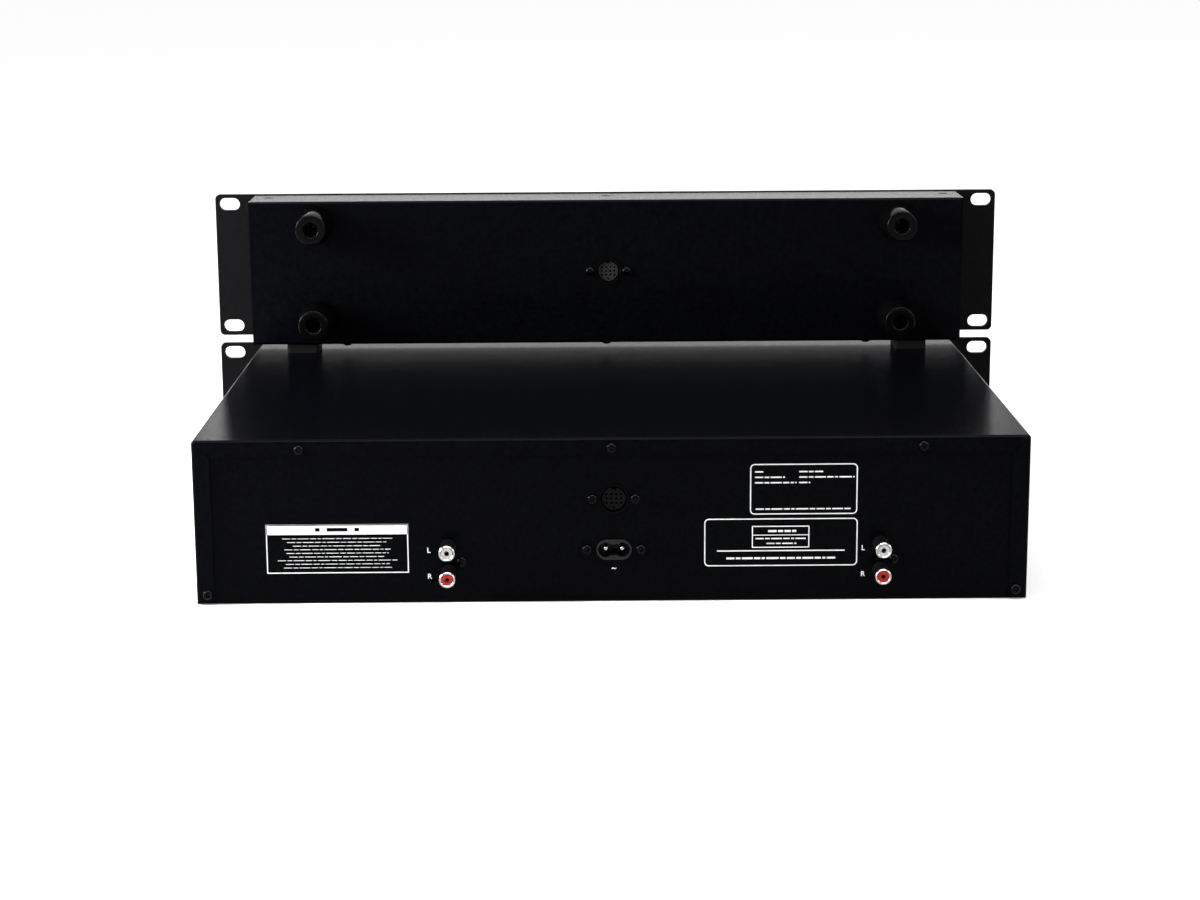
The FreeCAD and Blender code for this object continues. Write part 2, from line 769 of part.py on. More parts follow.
def half_turn(profile):
    """A solid of revolution about Z from (radius, height) corners."""
    points = [FreeCAD.Vector(r, 0, z) for r, z in profile]
    face = Part.Face(Part.makePolygon(points + points[:1]))
    return face.revolve(FreeCAD.Vector(0, 0, 0), FreeCAD.Vector(0, 0, 1), 360)


def pan_screw(length):
    """A pan-head screw standing on z = 0 with its shank below; the head's rim is rolled over."""
    head = number("pan_head_radius")
    rise = number("pan_head_height")
    shank = number("screw_radius")
    return half_turn([(0, -length), (shank, -length), (shank, 0), (head, 0), (head, 0.45 * rise),
                      (0.86 * head, 0.85 * rise), (0.55 * head, rise), (0, rise)])


def flat_screw(length):
    """A countersunk screw with its head flush with z = 0."""
    head = number("flat_head_radius")
    shank = number("screw_radius")
    return half_turn([(0, -length), (shank, -length), (shank, shank - head), (head, 0), (0, 0)])


def put(shape, direction, x, y, z):
    """A copy of a shape whose +Z is turned to a direction and whose origin is put at a place."""
    copy = shape.copy()
    turn = FreeCAD.Rotation(FreeCAD.Vector(0, 0, 1), FreeCAD.Vector(*direction))
    copy.Placement = FreeCAD.Placement(FreeCAD.Vector(number(x), number(y), number(z)), turn)
    return copy


def make_main_unit_screws():
    screw = pan_screw(number("screw_length"))
    screws = [put(screw, (0, 1, 0), x, "main_depth", z) for x, z in REAR_SCREWS]
    for x, z in SOCKET_SCREWS + INLET_SCREWS + PHONO_SCREWS:
        screws.append(put(screw, (0, 1, 0), x, WALL_FACE, z))
    for y, z in SIDE_SCREWS:
        screws.append(put(screw, (1, 0, 0), "case_width / 2", y, z))
        screws.append(put(screw, (-1, 0, 0), "-case_width / 2", y, z))
    add_feature("main_unit_screws", Part.makeCompound(screws))


# ---------------------------------------------------------------- sockets

def make_link_socket(label, face, height):
    """A round multi-pin socket: a barrel on a plate behind the wall, with a keyed insert in its groove."""
    body = add_body(label, x="socket_place", y=face, z=height)
    barrel = add_sketch(body, "XZ_Plane", "-socket_rim")
    draw_circle(barrel, "0", "0", "socket_radius")
    pad(body, barrel, "socket_reach + socket_rim")
    plate = add_sketch(body, "XZ_Plane", "sheet")
    draw_block(plate, "0", "0", "socket_plate_width", "socket_plate_height")
    pad(body, plate, "socket_plate")
    well = add_sketch(body, "XZ_Plane", "socket_recess")
    draw_circle(well, "0", "0", "socket_groove_radius")
    pocket(body, well, "socket_recess + 2 * cut_margin")
    groove = add_sketch(body, "XZ_Plane", "socket_recess + socket_groove")
    draw_circle(groove, "0", "0", "socket_groove_radius")
    draw_circle(groove, "0", "0", "socket_insert_radius")
    pocket(body, groove, "socket_groove + cut_margin")
    cut_round_holes(body, [("-socket_screw_spacing", "0"), ("socket_screw_spacing", "0")], SCREW_HOLE,
                    "-socket_plate - sheet - cut_margin", "socket_plate + 2 * cut_margin")
    pins = [(f"{column} * socket_pin_pitch", f"{line} * socket_row_pitch")
            for column in (-1.5, -0.5, 0.5, 1.5) for line in (-1, 0, 1)]
    pins.append(("0", "-2 * socket_row_pitch"))
    cut_round_holes(body, pins, "socket_pin_radius", "-socket_recess - socket_pin_depth",
                    "socket_pin_depth + cut_margin")
    key = add_sketch(body, "XZ_Plane", "socket_recess + socket_pin_depth")
    draw_rectangle(key, "-socket_key_width / 2", "socket_insert_radius - socket_key_height",
                   "socket_key_width / 2", "socket_insert_radius + screw_hole_gap")
    pocket(body, key, "socket_pin_depth + cut_margin")


def make_mains_inlet():
    """A two-pin inlet: flange behind the wall, rounded nose through it, figure-of-eight cavity."""
    body = add_body("mains_inlet", x="socket_place", y=WALL_FACE, z="inlet_height")
    flange = add_sketch(body, "XZ_Plane", "sheet")
    draw_block(flange, "0", "0", "inlet_flange_width", "inlet_flange_height")
    pad(body, flange, "inlet_flange")
    nose = add_sketch(body, "XZ_Plane", "-sheet")
    draw_slot(nose, "0", "0", "inlet_nose_length", "inlet_nose_radius")
    pad(body, nose, "inlet_reach")
    depth = "inlet_cavity_depth + cut_margin"
    start = "sheet - inlet_cavity_depth"
    lobes = [("-inlet_pin_spacing / 2", "0"), ("inlet_pin_spacing / 2", "0")]
    cut_round_holes(body, lobes, "inlet_lobe_radius", start, depth)
    waist = add_sketch(body, "XZ_Plane", f"-({start})")
    draw_block(waist, "0", "0", "inlet_pin_spacing", "inlet_waist")
    pocket(body, waist, depth)
    cut_round_holes(body, [("-inlet_screw_spacing", "0"), ("inlet_screw_spacing", "0")], SCREW_HOLE,
                    "-inlet_flange - sheet - cut_margin", "inlet_flange + 2 * cut_margin")


def make_mains_pins():
    """Two round pins standing on the floor of the inlet's cavity."""
    body = add_body("mains_pins", x="socket_place", y=WALL_FACE, z="inlet_height")
    ends = add_sketch(body, "XZ_Plane", "-(sheet - inlet_cavity_depth + inlet_pin_length)")
    for side in (-1, 1):
        draw_circle(ends, f"{side} * inlet_pin_spacing / 2", "0", "inlet_pin_radius")
    round_pins = pad(body, ends, "inlet_pin_length")
    tips = edges_in_plane(round_pins, 1, "sheet - inlet_cavity_depth + inlet_pin_length")
    round_edges(body, round_pins, tips, "inlet_pin_radius / 2")


def make_phono_blocks():
    """A moulded block behind each pair of phono sockets, with a ribbed barrel through the wall for each."""
    body = add_body("phono_blocks")
    blocks = add_sketch(body, "XZ_Plane", f"-{WALL_INSIDE}")
    for x in PHONO_PLACES:
        draw_rectangle(blocks, f"{x} - phono_block_width / 2 - phono_screw_offset / 2",
                       f"{PHONO_LOWER} - phono_block_margin", f"{x} + phono_block_width / 2",
                       "phono_upper_height + phono_block_margin")
    pad(body, blocks, "phono_block_depth")
    shoulder = f"({WALL_FACE} + phono_reach - phono_rim)"
    barrels = add_sketch(body, "XZ_Plane", f"-{shoulder}")
    for x, z in PHONO_AXES:
        draw_circle(barrels, x, z, "phono_barrel_radius")
    pad(body, barrels, "phono_reach - phono_rim + sheet")
    for rib in range(int(number("phono_rib_count"))):
        rib_end = f"({WALL_INSIDE} + {rib} * phono_rib_pitch + phono_rib + sheet)"
        ring = add_sketch(body, "XZ_Plane", f"-{rib_end}")
        for x, z in PHONO_AXES:
            draw_circle(ring, x, z, "phono_rib_radius")
        pad(body, ring, "phono_rib")
    cut_round_holes(body, PHONO_AXES, "phono_shell_radius + running_gap", f"{WALL_INSIDE} - cut_margin",
                    "phono_reach + sheet + 2 * cut_margin")
    cut_round_holes(body, PHONO_SCREWS, SCREW_HOLE, f"{WALL_INSIDE} - screw_length",
                    "screw_length + cut_margin")


def make_phono_shells():
    """Metal liners with a rolled rim that sits on each barrel."""
    back = -number("sheet") - number("cut_margin")
    reach = number("phono_reach")
    shoulder = reach - number("phono_rim")
    bore = number("phono_bore_radius")
    liner = number("phono_shell_radius")
    rim = number("phono_rim_radius")
    roll = number("phono_rim") / 4
    shell = half_turn([(bore, back), (liner, back), (liner, shoulder), (rim - roll, shoulder),
                       (rim, shoulder + roll), (rim, reach - roll), (rim - roll, reach), (bore + roll, reach),
                       (bore, reach - roll)])
    shells = [put(shell, (0, 1, 0), x, WALL_FACE, z) for x, z in PHONO_AXES]
    add_feature("phono_shells", Part.makeCompound(shells))


def make_phono_inserts(label, height):
    """Insulating sleeves inside one row of liners."""
    body = add_body(label)
    front = f"{WALL_FACE} + phono_reach - phono_insert_recess"
    tubes = add_sketch(body, "XZ_Plane", f"-({front})")
    for x in PHONO_PLACES:
        draw_circle(tubes, x, height, "phono_bore_radius - running_gap")
        draw_circle(tubes, x, height, "phono_pin_radius")
    pad(body, tubes, "phono_reach - phono_insert_recess + sheet")


# ---------------------------------------------------------------- disc drive

def make_loader_frame():
    """A moulded trough on four legs: floor with a window, side rails with ledges and hold-down tabs,
    and a bridge over the disc that carries the clamp puck."""
    body = add_body("left_loader_frame", x="-deck_offset")
    floor = add_sketch(body, "XY_Plane", "frame_floor")
    draw_rectangle(floor, f"-{FRAME_OUTSIDE}", "frame_front", FRAME_OUTSIDE, "frame_rear")
    draw_rectangle(floor, "-frame_window_width / 2", "frame_window_front",
                   "frame_window_width / 2", "frame_window_rear")
    pad(body, floor, "frame_plate")

    def side_pads(level, height, inner, outer, spans):
        rails = add_sketch(body, "XY_Plane", level)
        for side in (1, -1):
            for front, rear in spans:
                draw_polygon(rails, [(f"{side} * ({inner})", front), (f"{side} * ({outer})", front),
                                     (f"{side} * ({outer})", rear), (f"{side} * ({inner})", rear)])
        pad(body, rails, height)

    whole = [("frame_front", "frame_rear")]
    bridge = [("disc_place - bridge_width / 2", "disc_place + bridge_width / 2")]
    tabs = [("frame_front", "frame_front + frame_tab_length"),
            ("frame_rear - 2 * frame_tab_length", "frame_rear - frame_tab_length")]
    ledge = f"{FRAME_INSIDE} - frame_side_gap - frame_ledge"
    ledge_top = f"{TRAY_BOTTOM} - seat_gap"
    side_pads("frame_floor", "frame_top - frame_floor", FRAME_INSIDE, FRAME_OUTSIDE, whole)
    side_pads("frame_floor", f"{ledge_top} - frame_floor", ledge, FRAME_INSIDE, whole)
    side_pads("tray_top + seat_gap", "frame_top - tray_top - seat_gap", ledge, FRAME_INSIDE, tabs)
    side_pads("frame_top", "bridge_top - frame_top", FRAME_INSIDE, FRAME_OUTSIDE, bridge)

    crossing = add_sketch(body, "XY_Plane", "bridge_top - bridge_plate")
    draw_block(crossing, "0", "disc_place", f"2 * {FRAME_OUTSIDE}", "bridge_width")
    pad(body, crossing, "bridge_plate")
    ring = add_sketch(body, "XY_Plane", "bridge_top - bridge_plate")
    draw_circle(ring, "0", "disc_place", "bridge_ring_radius")
    pad(body, ring, "bridge_plate")
    seat = add_sketch(body, "XY_Plane", "bridge_top")
    draw_circle(seat, "0", "disc_place", "puck_neck_radius + seat_gap")
    pocket(body, seat, "bridge_plate")

    legs = add_sketch(body, "XY_Plane", "sheet")
    for side in (1, -1):
        for y in ("frame_front + frame_leg_inset", "frame_rear - frame_leg_inset"):
            draw_circle(legs, f"{side} * frame_leg_spacing", y, "frame_leg_radius")
    pad(body, legs, "frame_floor - sheet")

    axle = add_sketch(body, "XY_Plane", "frame_floor")
    draw_circle(axle, f"{GEAR_RADIUS} - rack_line", "gear_place", "gear_axle_radius")
    pad(body, axle, f"{TRAY_BOTTOM} - seat_gap - frame_floor")

    brackets = add_sketch(body, "XY_Plane", "frame_floor")
    for side in (1, -1):
        draw_block(brackets, f"{side} * (bracket_start + bracket_thickness / 2)", "traverse_pin_place",
                   "bracket_thickness", "bracket_length")
    pad(body, brackets, "bracket_rise + frame_plate")
    bores = add_sketch(body, "YZ_Plane", "bracket_start + bracket_thickness + cut_margin")
    draw_circle(bores, "traverse_pin_place", ROD_HEIGHT, "traverse_pin_radius + running_gap")
    pocket(body, bores, "2 * (bracket_start + bracket_thickness + cut_margin)")


def make_disc_tray():
    """A moulded tray: door, two round disc recesses, finger notches, a slot that stays open to the
    rear for the turntable and lens, a toothed rack under one edge and a plain rib under the other."""
    body = add_body("left_disc_tray", x="-deck_offset")
    plate = add_sketch(body, "XY_Plane", TRAY_BOTTOM)
    draw_rectangle(plate, "-tray_width / 2", "-door_back", "tray_width / 2", "tray_length")
    pad(body, plate, "tray_thickness")
    door = add_sketch(body, "XZ_Plane", "door_back")
    draw_block(door, "0", "door_centre", "door_width", "door_height")
    slab = pad(body, door, "door_thickness")
    rim = edges_in_plane(slab, 1, "-door_back - door_thickness")
    round_edges(body, slab, rim, "door_edge")

    for radius, depth in (("disc_radius + disc_gap", "disc_recess"),
                          ("small_disc_radius + disc_gap", "small_disc_recess")):
        recess = add_sketch(body, "XY_Plane", "tray_top")
        draw_circle(recess, "0", "disc_place", radius)
        pocket(body, recess, depth)
    notches = add_sketch(body, "XY_Plane", "tray_top")
    for side in (1, -1):
        draw_circle(notches, f"{side} * notch_place", "disc_place", "notch_radius")
    pocket(body, notches, "small_disc_recess")
    round_end = add_sketch(body, "XY_Plane", "tray_top")
    draw_circle(round_end, "0", "disc_place", "tray_slot_radius")
    pocket(body, round_end, "tray_thickness + cut_margin")
    slot = add_sketch(body, "XY_Plane", "tray_top")
    draw_rectangle(slot, "-tray_slot_radius", "disc_place", "tray_slot_radius", "tray_length + cut_margin")
    pocket(body, slot, "tray_thickness + cut_margin")

    root = "(rack_line + gear_module + root_clearance)"
    ribs = add_sketch(body, "XY_Plane", f"{TRAY_BOTTOM} - rack_height")
    for side in (1, -1):
        draw_block(ribs, f"{side} * ({root} + rack_back / 2)", "(rack_start + tray_length) / 2",
                   "rack_back", "tray_length - rack_start")
    pad(body, ribs, "rack_height")
    tooth = add_sketch(body, "XY_Plane", f"{TRAY_BOTTOM} - rack_height")
    slope = "tan(20)"
    middle = f"gear_place - 4.5 * {TOOTH_PITCH}"
    at_root = f"({TOOTH_PITCH} / 4 - backlash / 4 + (gear_module + root_clearance) * {slope})"
    at_tip = f"({TOOTH_PITCH} / 4 - backlash / 4 - gear_module * {slope})"
    tip = "gear_module - rack_line"
    draw_polygon(tooth, [(f"-{root}", f"{middle} - {at_root}"), (tip, f"{middle} - {at_tip}"),
                         (tip, f"{middle} + {at_tip}"), (f"-{root}", f"{middle} + {at_root}")])
    first = pad(body, tooth, "rack_height")
    pattern(body, first, "LinearPattern", "Y_Axis", "rack_teeth_count",
            f"(rack_teeth_count - 1) * {TOOTH_PITCH}")


def make_loading_gear():
    """A spur gear with involute teeth on a hub, lying flat under the tray in mesh with its rack."""
    module = number("gear_module")
    teeth = int(number("gear_teeth_count"))
    pitch_radius = module * teeth / 2
    base_radius = pitch_radius * math.cos(PRESSURE_ANGLE)
    root_radius = pitch_radius - module - number("root_clearance")
    tip_radius = pitch_radius + module

    def half_angle(radius):
        """Half the tooth's angle at a radius, from the involute of the base circle."""
        if radius <= base_radius:
            radius = base_radius
        roll = math.acos(base_radius / radius)
        involute = math.tan(roll) - roll
        at_pitch = math.tan(PRESSURE_ANGLE) - PRESSURE_ANGLE
        return math.pi / (2 * teeth) - number("backlash") / (4 * pitch_radius) + at_pitch - involute

    def at(radius, angle):
        return FreeCAD.Vector(radius * math.cos(angle), radius * math.sin(angle), 0)

    middle_radius = (base_radius + tip_radius) / 2
    edges = []
    for index in range(teeth):
        axis = math.pi + 2 * math.pi * index / teeth
        next_axis = axis + 2 * math.pi / teeth
        root = half_angle(root_radius)
        tip = half_angle(tip_radius)
        waist = half_angle(middle_radius)
        corners = [at(root_radius, axis - root), at(base_radius, axis - root), at(tip_radius, axis - tip),
                   at(tip_radius, axis + tip), at(base_radius, axis + root), at(root_radius, axis + root)]
        edges.append(Part.LineSegment(corners[0], corners[1]).toShape())
        edges.append(Part.Arc(corners[1], at(middle_radius, axis - waist), corners[2]).toShape())
        edges.append(Part.LineSegment(corners[2], corners[3]).toShape())
        edges.append(Part.Arc(corners[3], at(middle_radius, axis + waist), corners[4]).toShape())
        edges.append(Part.LineSegment(corners[4], corners[5]).toShape())
        edges.append(Part.LineSegment(corners[5], at(root_radius, next_axis - root)).toShape())
    toothed = Part.Face(Part.Wire(edges)).extrude(FreeCAD.Vector(0, 0, number("gear_face")))
    drop = number(f"{TRAY_BOTTOM} - rack_height - frame_floor - frame_plate")
    hub = Part.makeCylinder(number("gear_hub_radius"), drop, FreeCAD.Vector(0, 0, -drop))
    bore_radius = number("gear_axle_radius + running_gap")
    bore = Part.makeCylinder(bore_radius, drop + number("gear_face"), FreeCAD.Vector(0, 0, -drop))
    gear = toothed.fuse(hub).cut(bore).removeSplitter()
    add_feature("left_loading_gear", gear, x=f"{GEAR_RADIUS} - rack_line - deck_offset", y="gear_place",
                z=f"{TRAY_BOTTOM} - rack_height + seat_gap")


def make_traverse():
    """The hinged chassis under the tray: motor can, two guide rods and the rear hinge pin."""
    body = add_body("left_traverse", x="-deck_offset")
    frame = add_sketch(body, "XY_Plane", "traverse_bottom")
    draw_rectangle(frame, "-traverse_width / 2", "traverse_front", "traverse_width / 2", "traverse_rear")
    draw_rectangle(frame, "-traverse_window_width / 2", "traverse_window_front",
                   "traverse_window_width / 2", "traverse_window_rear")
    pad(body, frame, "traverse_height")
    can = add_sketch(body, "XY_Plane", "traverse_bottom - motor_height")
    draw_circle(can, "0", "disc_place", "motor_radius")
    pad(body, can, "motor_height")
    rods = add_sketch(body, "XZ_Plane", "-(traverse_window_rear + rod_radius)")
    for side in (1, -1):
        draw_circle(rods, f"{side} * rod_spacing", ROD_HEIGHT, "rod_radius")
    pad(body, rods, "traverse_window_rear - traverse_window_front + 2 * rod_radius")
    pin = add_sketch(body, "YZ_Plane", "-(bracket_start + bracket_thickness)")
    draw_circle(pin, "traverse_pin_place", ROD_HEIGHT, "traverse_pin_radius")
    pad(body, pin, "2 * (bracket_start + bracket_thickness)")
    bearing = add_sketch(body, "XY_Plane", "traverse_bottom + traverse_height + cut_margin")
    draw_circle(bearing, "0", "disc_place", "spindle_shaft_radius + running_gap")
    pocket(body, bearing, "traverse_height + motor_height + 2 * cut_margin")


def make_spindle():
    """Shaft, turntable and centring cone, turned in one piece."""
    body = add_body("left_spindle", x="-deck_offset", y="disc_place")
    profile = add_sketch(body, "XZ_Plane")
    foot = "traverse_bottom - motor_height + seat_gap"
    draw_polygon(profile, [
        ("0", foot), ("spindle_shaft_radius", foot),
        ("spindle_shaft_radius", "turntable_top - turntable_height"),
        ("turntable_radius", "turntable_top - turntable_height"), ("turntable_radius", "turntable_top"),
        ("hub_cone_radius", "turntable_top"), ("hub_cone_radius", "turntable_top + hub_height / 2"),
        ("hub_tip_radius", "turntable_top + hub_height"), ("0", "turntable_top + hub_height"),
    ])
    revolve(body, profile)


def make_laser_sled():
    """The laser block on its two rods, with the lens tower."""
    body = add_body("left_laser_sled", x="-deck_offset")
    block = add_sketch(body, "XY_Plane", "sled_bottom")
    draw_rectangle(block, "-sled_width / 2", "sled_front", "sled_width / 2", "sled_front + sled_length")
    pad(body, block, "sled_height")
    centre = "sled_front + sled_length / 2"
    tower = add_sketch(body, "XY_Plane", "sled_bottom + sled_height")
    draw_circle(tower, "0", centre, "lens_tower_radius")
    pad(body, tower, "lens_tower_height")
    lens = add_sketch(body, "XY_Plane", "sled_bottom + sled_height + lens_tower_height")
    draw_circle(lens, "0", centre, "lens_radius")
    dome = pad(body, lens, "lens_height")
    top = "sled_bottom + sled_height + lens_tower_height + lens_height"
    round_edges(body, dome, edges_in_plane(dome, 2, top), "lens_height * 0.8")
    rods = [("-rod_spacing", ROD_HEIGHT), ("rod_spacing", ROD_HEIGHT)]
    cut_round_holes(body, rods, "rod_radius + running_gap", "sled_front - cut_margin",
                    "sled_length + 2 * cut_margin")


def make_clamp_puck():
    """The puck that hangs by its cap in the bridge, with a hollow for the centring cone."""
    body = add_body("left_clamp_puck", x="-deck_offset", y="disc_place")
    profile = add_sketch(body, "XZ_Plane")
    shoe = "puck_underside + puck_shoe"
    cap = "bridge_top + seat_gap"
    draw_polygon(profile, [
        ("puck_hollow_radius", "puck_underside"), ("puck_radius", "puck_underside"), ("puck_radius", shoe),
        ("puck_neck_radius", shoe), ("puck_neck_radius", cap), ("puck_radius", cap),
        ("puck_radius", f"{cap} + puck_cap"), ("0", f"{cap} + puck_cap"),
        ("0", "puck_underside + puck_hollow"), ("puck_hollow_radius", "puck_underside + puck_hollow"),
    ])
    revolve(body, profile)


# ---------------------------------------------------------------- buttons

def finish_button(body, cap, front):
    """Rounds the rim of a button's face."""
    round_edges(body, cap, edges_in_plane(cap, 1, front), "key_edge")


def make_open_button():
    """An oblong push button with a flange behind the front wall."""
    body = add_body("left_open_button", x="open_button_offset - deck_offset", z="open_button_height")
    flange = add_sketch(body, "XZ_Plane", f"-({BUTTON_STOP} + button_flange)")
    draw_block(flange, "0", "0", "open_button_width + 2 * button_flange_margin",
               "open_button_rise + 2 * button_flange_margin")
    pad(body, flange, "button_flange")
    cap = add_sketch(body, "XZ_Plane", f"-{BUTTON_STOP}")
    draw_block(cap, "0", "0", "open_button_width", "open_button_rise")
    block = pad(body, cap, f"{BUTTON_STOP} + panel_thickness + button_reach")
    finish_button(body, block, "-(panel_thickness + button_reach)")


def make_power_button():
    """A round push button with a flange behind the front wall."""
    body = add_body("power_button", z="power_button_height")
    flange = add_sketch(body, "XZ_Plane", f"-({BUTTON_STOP} + button_flange)")
    draw_circle(flange, "0", "0", "power_button_radius + button_flange_margin")
    pad(body, flange, "button_flange")
    cap = add_sketch(body, "XZ_Plane", f"-{BUTTON_STOP}")
    draw_circle(cap, "0", "0", "power_button_radius")
    block = pad(body, cap, f"{BUTTON_STOP} + panel_thickness + 2 * button_reach")
    finish_button(body, block, "-(panel_thickness + 2 * button_reach)")


def make_key(name):
    """A control key: cap through the panel, flange behind it, plunger towards its switch."""
    x, z, width, height = KEYS[name]
    body = add_body(f"left_{name}", x=f"{x} - deck_offset", z=f"{CONTROL_BASE} + {PANEL_MIDDLE} + {z}")
    plunger = add_sketch(body, "XZ_Plane", "-key_plunger_reach")
    draw_circle(plunger, "0", "0", "key_plunger_radius")
    pad(body, plunger, "key_plunger_reach - seat_gap")
    flange = add_sketch(body, "XZ_Plane", "-(seat_gap + button_flange)")
    draw_block(flange, "0", "0", f"{width} + button_flange_margin", f"{height} + button_flange_margin")
    pad(body, flange, "button_flange")
    cap = add_sketch(body, "XZ_Plane", "-seat_gap")
    draw_block(cap, "0", "0", width, height)
    block = pad(body, cap, "seat_gap + panel_thickness + button_reach")
    finish_button(body, block, "-(panel_thickness + button_reach)")


# ---------------------------------------------------------------- electronics of the main unit

def add_board(label, x, front, rear, width):
    """A circuit board on four posts that stand on the floor."""
    body = add_body(label, x=x)
    posts = add_sketch(body, "XY_Plane", "sheet")
    for side in (1, -1):
        for y in (f"{front} + board_post_inset", f"{rear} - board_post_inset"):
            draw_circle(posts, f"{side} * ({width} / 2 - board_post_inset)", y, "board_post_radius")
    pad(body, posts, "board_height - sheet")
    board = add_sketch(body, "XY_Plane", "board_height")
    draw_rectangle(board, f"-{width} / 2", front, f"{width} / 2", rear)
    pad(body, board, "board_thickness")
    return body


def make_logic_board():
    body = add_board("logic_board", "0", "logic_board_front", "logic_board_rear", "logic_board_width")
    chips = add_sketch(body, "XY_Plane", "board_height + board_thickness")
    for side in (1, -1):
        for share in (0.3, 0.7):
            y = f"logic_board_front + {share} * (logic_board_rear - logic_board_front)"
            draw_block(chips, f"{side} * logic_chip_size * 0.8", y, "logic_chip_size", "logic_chip_size")
    pad(body, chips, "logic_chip_height")


def make_power_board():
    rear = "(main_depth - power_board_inset)"
    body = add_board("power_board", "0", f"({rear} - power_board_length)", rear, "power_board_width")
    top = "board_height + board_thickness"
    middle = f"({rear} - power_board_length / 2)"
    cans = add_sketch(body, "XY_Plane", top)
    for side in (1, -1):
        draw_circle(cans, f"{side} * power_board_width / 4", middle, "capacitor_radius")
    pad(body, cans, "capacitor_height")
    sink = add_sketch(body, "XY_Plane", top)
    draw_block(sink, "0", f"{middle} - capacitor_radius - heat_sink_depth / 2", "heat_sink_width / 2",
               "heat_sink_depth")
    pad(body, sink, "capacitor_height * 0.8")


def make_power_transformer():
    """A laminated core on a foot plate, with its coil standing out on both sides."""
    body = add_body("power_transformer", x="transformer_place", y="main_depth - transformer_inset", z="sheet")
    foot = add_sketch(body, "XY_Plane")
    draw_block(foot, "0", "0", "transformer_foot_width", "transformer_foot_length")
    pad(body, foot, "transformer_foot")
    core = add_sketch(body, "XY_Plane")
    draw_block(core, "0", "0", "transformer_width", "transformer_length / 2")
    pad(body, core, "transformer_height")
    coil = add_sketch(body, "XY_Plane", "(transformer_height - transformer_coil_height) / 2")
    draw_block(coil, "0", "0", "transformer_coil_width", "transformer_coil_length")
    pad(body, coil, "transformer_coil_height")


# ---------------------------------------------------------------- control unit

def make_control_case():
    """Top, back and underside folded from one sheet, between the frame's side walls."""
    body = add_body("control_case", z=CONTROL_BASE)
    trough = add_sketch(body, "YZ_Plane", f"-{COVER_INSIDE}")
    back = "control_depth - sheet"
    draw_polygon(trough, [
        ("0", "0"), ("control_depth", "0"), ("control_depth", CASE_HEIGHT), ("0", CASE_HEIGHT),
        ("0", f"{CASE_HEIGHT} - sheet"), (back, f"{CASE_HEIGHT} - sheet"), (back, "sheet"), ("0", "sheet"),
    ])
    folded = pad(body, trough, f"2 * {COVER_INSIDE}")
    outer = edges_along(folded, 0, [("control_depth", "0"), ("control_depth", CASE_HEIGHT)])
    bent = round_edges(body, folded, outer, "bend")
    inner = edges_along(bent, 0, [(back, "sheet"), (back, f"{CASE_HEIGHT} - sheet")])
    round_edges(body, bent, inner, "bend - sheet")

    top = add_sketch(body, "XY_Plane", f"{CASE_HEIGHT} + cut_margin")
    for side in (-1, 0, 1):
        draw_circle(top, f"{side} * control_top_screw_spacing", "control_top_screw_depth",
                    "flat_head_radius + screw_hole_gap")
    pocket(body, top, "sheet + 2 * cut_margin")
    underside = add_sketch(body, "XY_Plane", "sheet + cut_margin")
    for side in (-1, 0, 1):
        draw_circle(underside, f"{side} * control_base_screw_spacing", BASE_SCREW_LINE, SCREW_HOLE)
    pocket(body, underside, "sheet + 2 * cut_margin")
    rear = "control_depth - sheet - cut_margin"
    through = "sheet + 2 * cut_margin"
    cut_round_holes(body, CONTROL_SOCKET_SCREWS + FOOT_PLACES, SCREW_HOLE, rear, through)
    socket = [("socket_place", CONTROL_SOCKET)]
    cut_round_holes(body, socket, "socket_radius + screw_hole_gap", rear, through)


def make_control_frame():
    """Side walls joined by a strip under the top and a strip over the underside."""
    body = add_body("control_frame", z=CONTROL_BASE)
    inside = "case_width / 2 - sheet"
    walls = add_sketch(body, "XZ_Plane", "-control_depth")
    for side in (1, -1):
        draw_block(walls, f"{side} * (case_width - sheet) / 2", f"{CASE_HEIGHT} / 2", "sheet", CASE_HEIGHT)
    pad(body, walls, "control_depth")
    for middle, reach in ((f"{CASE_HEIGHT} - 1.5 * sheet - seam", "top_flange"),
                          ("1.5 * sheet + seam", "control_depth - 2 * sheet")):
        strip = add_sketch(body, "XZ_Plane", f"-({reach})")
        draw_block(strip, "0", middle, f"2 * ({inside})", "sheet")
        pad(body, strip, reach)
    top = add_sketch(body, "XY_Plane", CASE_HEIGHT)
    for side in (-1, 0, 1):
        draw_circle(top, f"{side} * control_top_screw_spacing", "control_top_screw_depth",
                    "flat_head_radius")
    pocket(body, top, "3 * sheet")
    underside = add_sketch(body, "XY_Plane", "3 * sheet")
    for side in (-1, 0, 1):
        draw_circle(underside, f"{side} * control_base_screw_spacing", BASE_SCREW_LINE, SCREW_HOLE)
    pocket(body, underside, "3 * sheet")


def make_control_front_panel():
    """Rack panel with openings for windows, keys, jog wheels and pitch faders."""
    body = add_rack_panel("control_front_panel", CONTROL_BASE)
    openings = add_sketch(body, "XZ_Plane", "panel_thickness + cut_margin")
    for deck in DECKS:
        draw_block(openings, f"{deck} + window_place", WINDOW_HEIGHT,
                   "window_width + 2 * screw_hole_gap", "window_height + 2 * screw_hole_gap")
        for x, z, width, height in KEYS.values():
            draw_block(openings, f"{deck} + {x}", f"{PANEL_MIDDLE} + {z}", f"{width} + 2 * door_gap",
                       f"{height} + 2 * door_gap")
        draw_circle(openings, f"{deck} + jog_place", PANEL_MIDDLE, "ring_sleeve_radius + running_gap")
        draw_block(openings, f"{deck} + fader_place", PANEL_MIDDLE, "fader_slot_width", FADER_SLOT)
    pocket(body, openings, "panel_thickness + 2 * cut_margin")


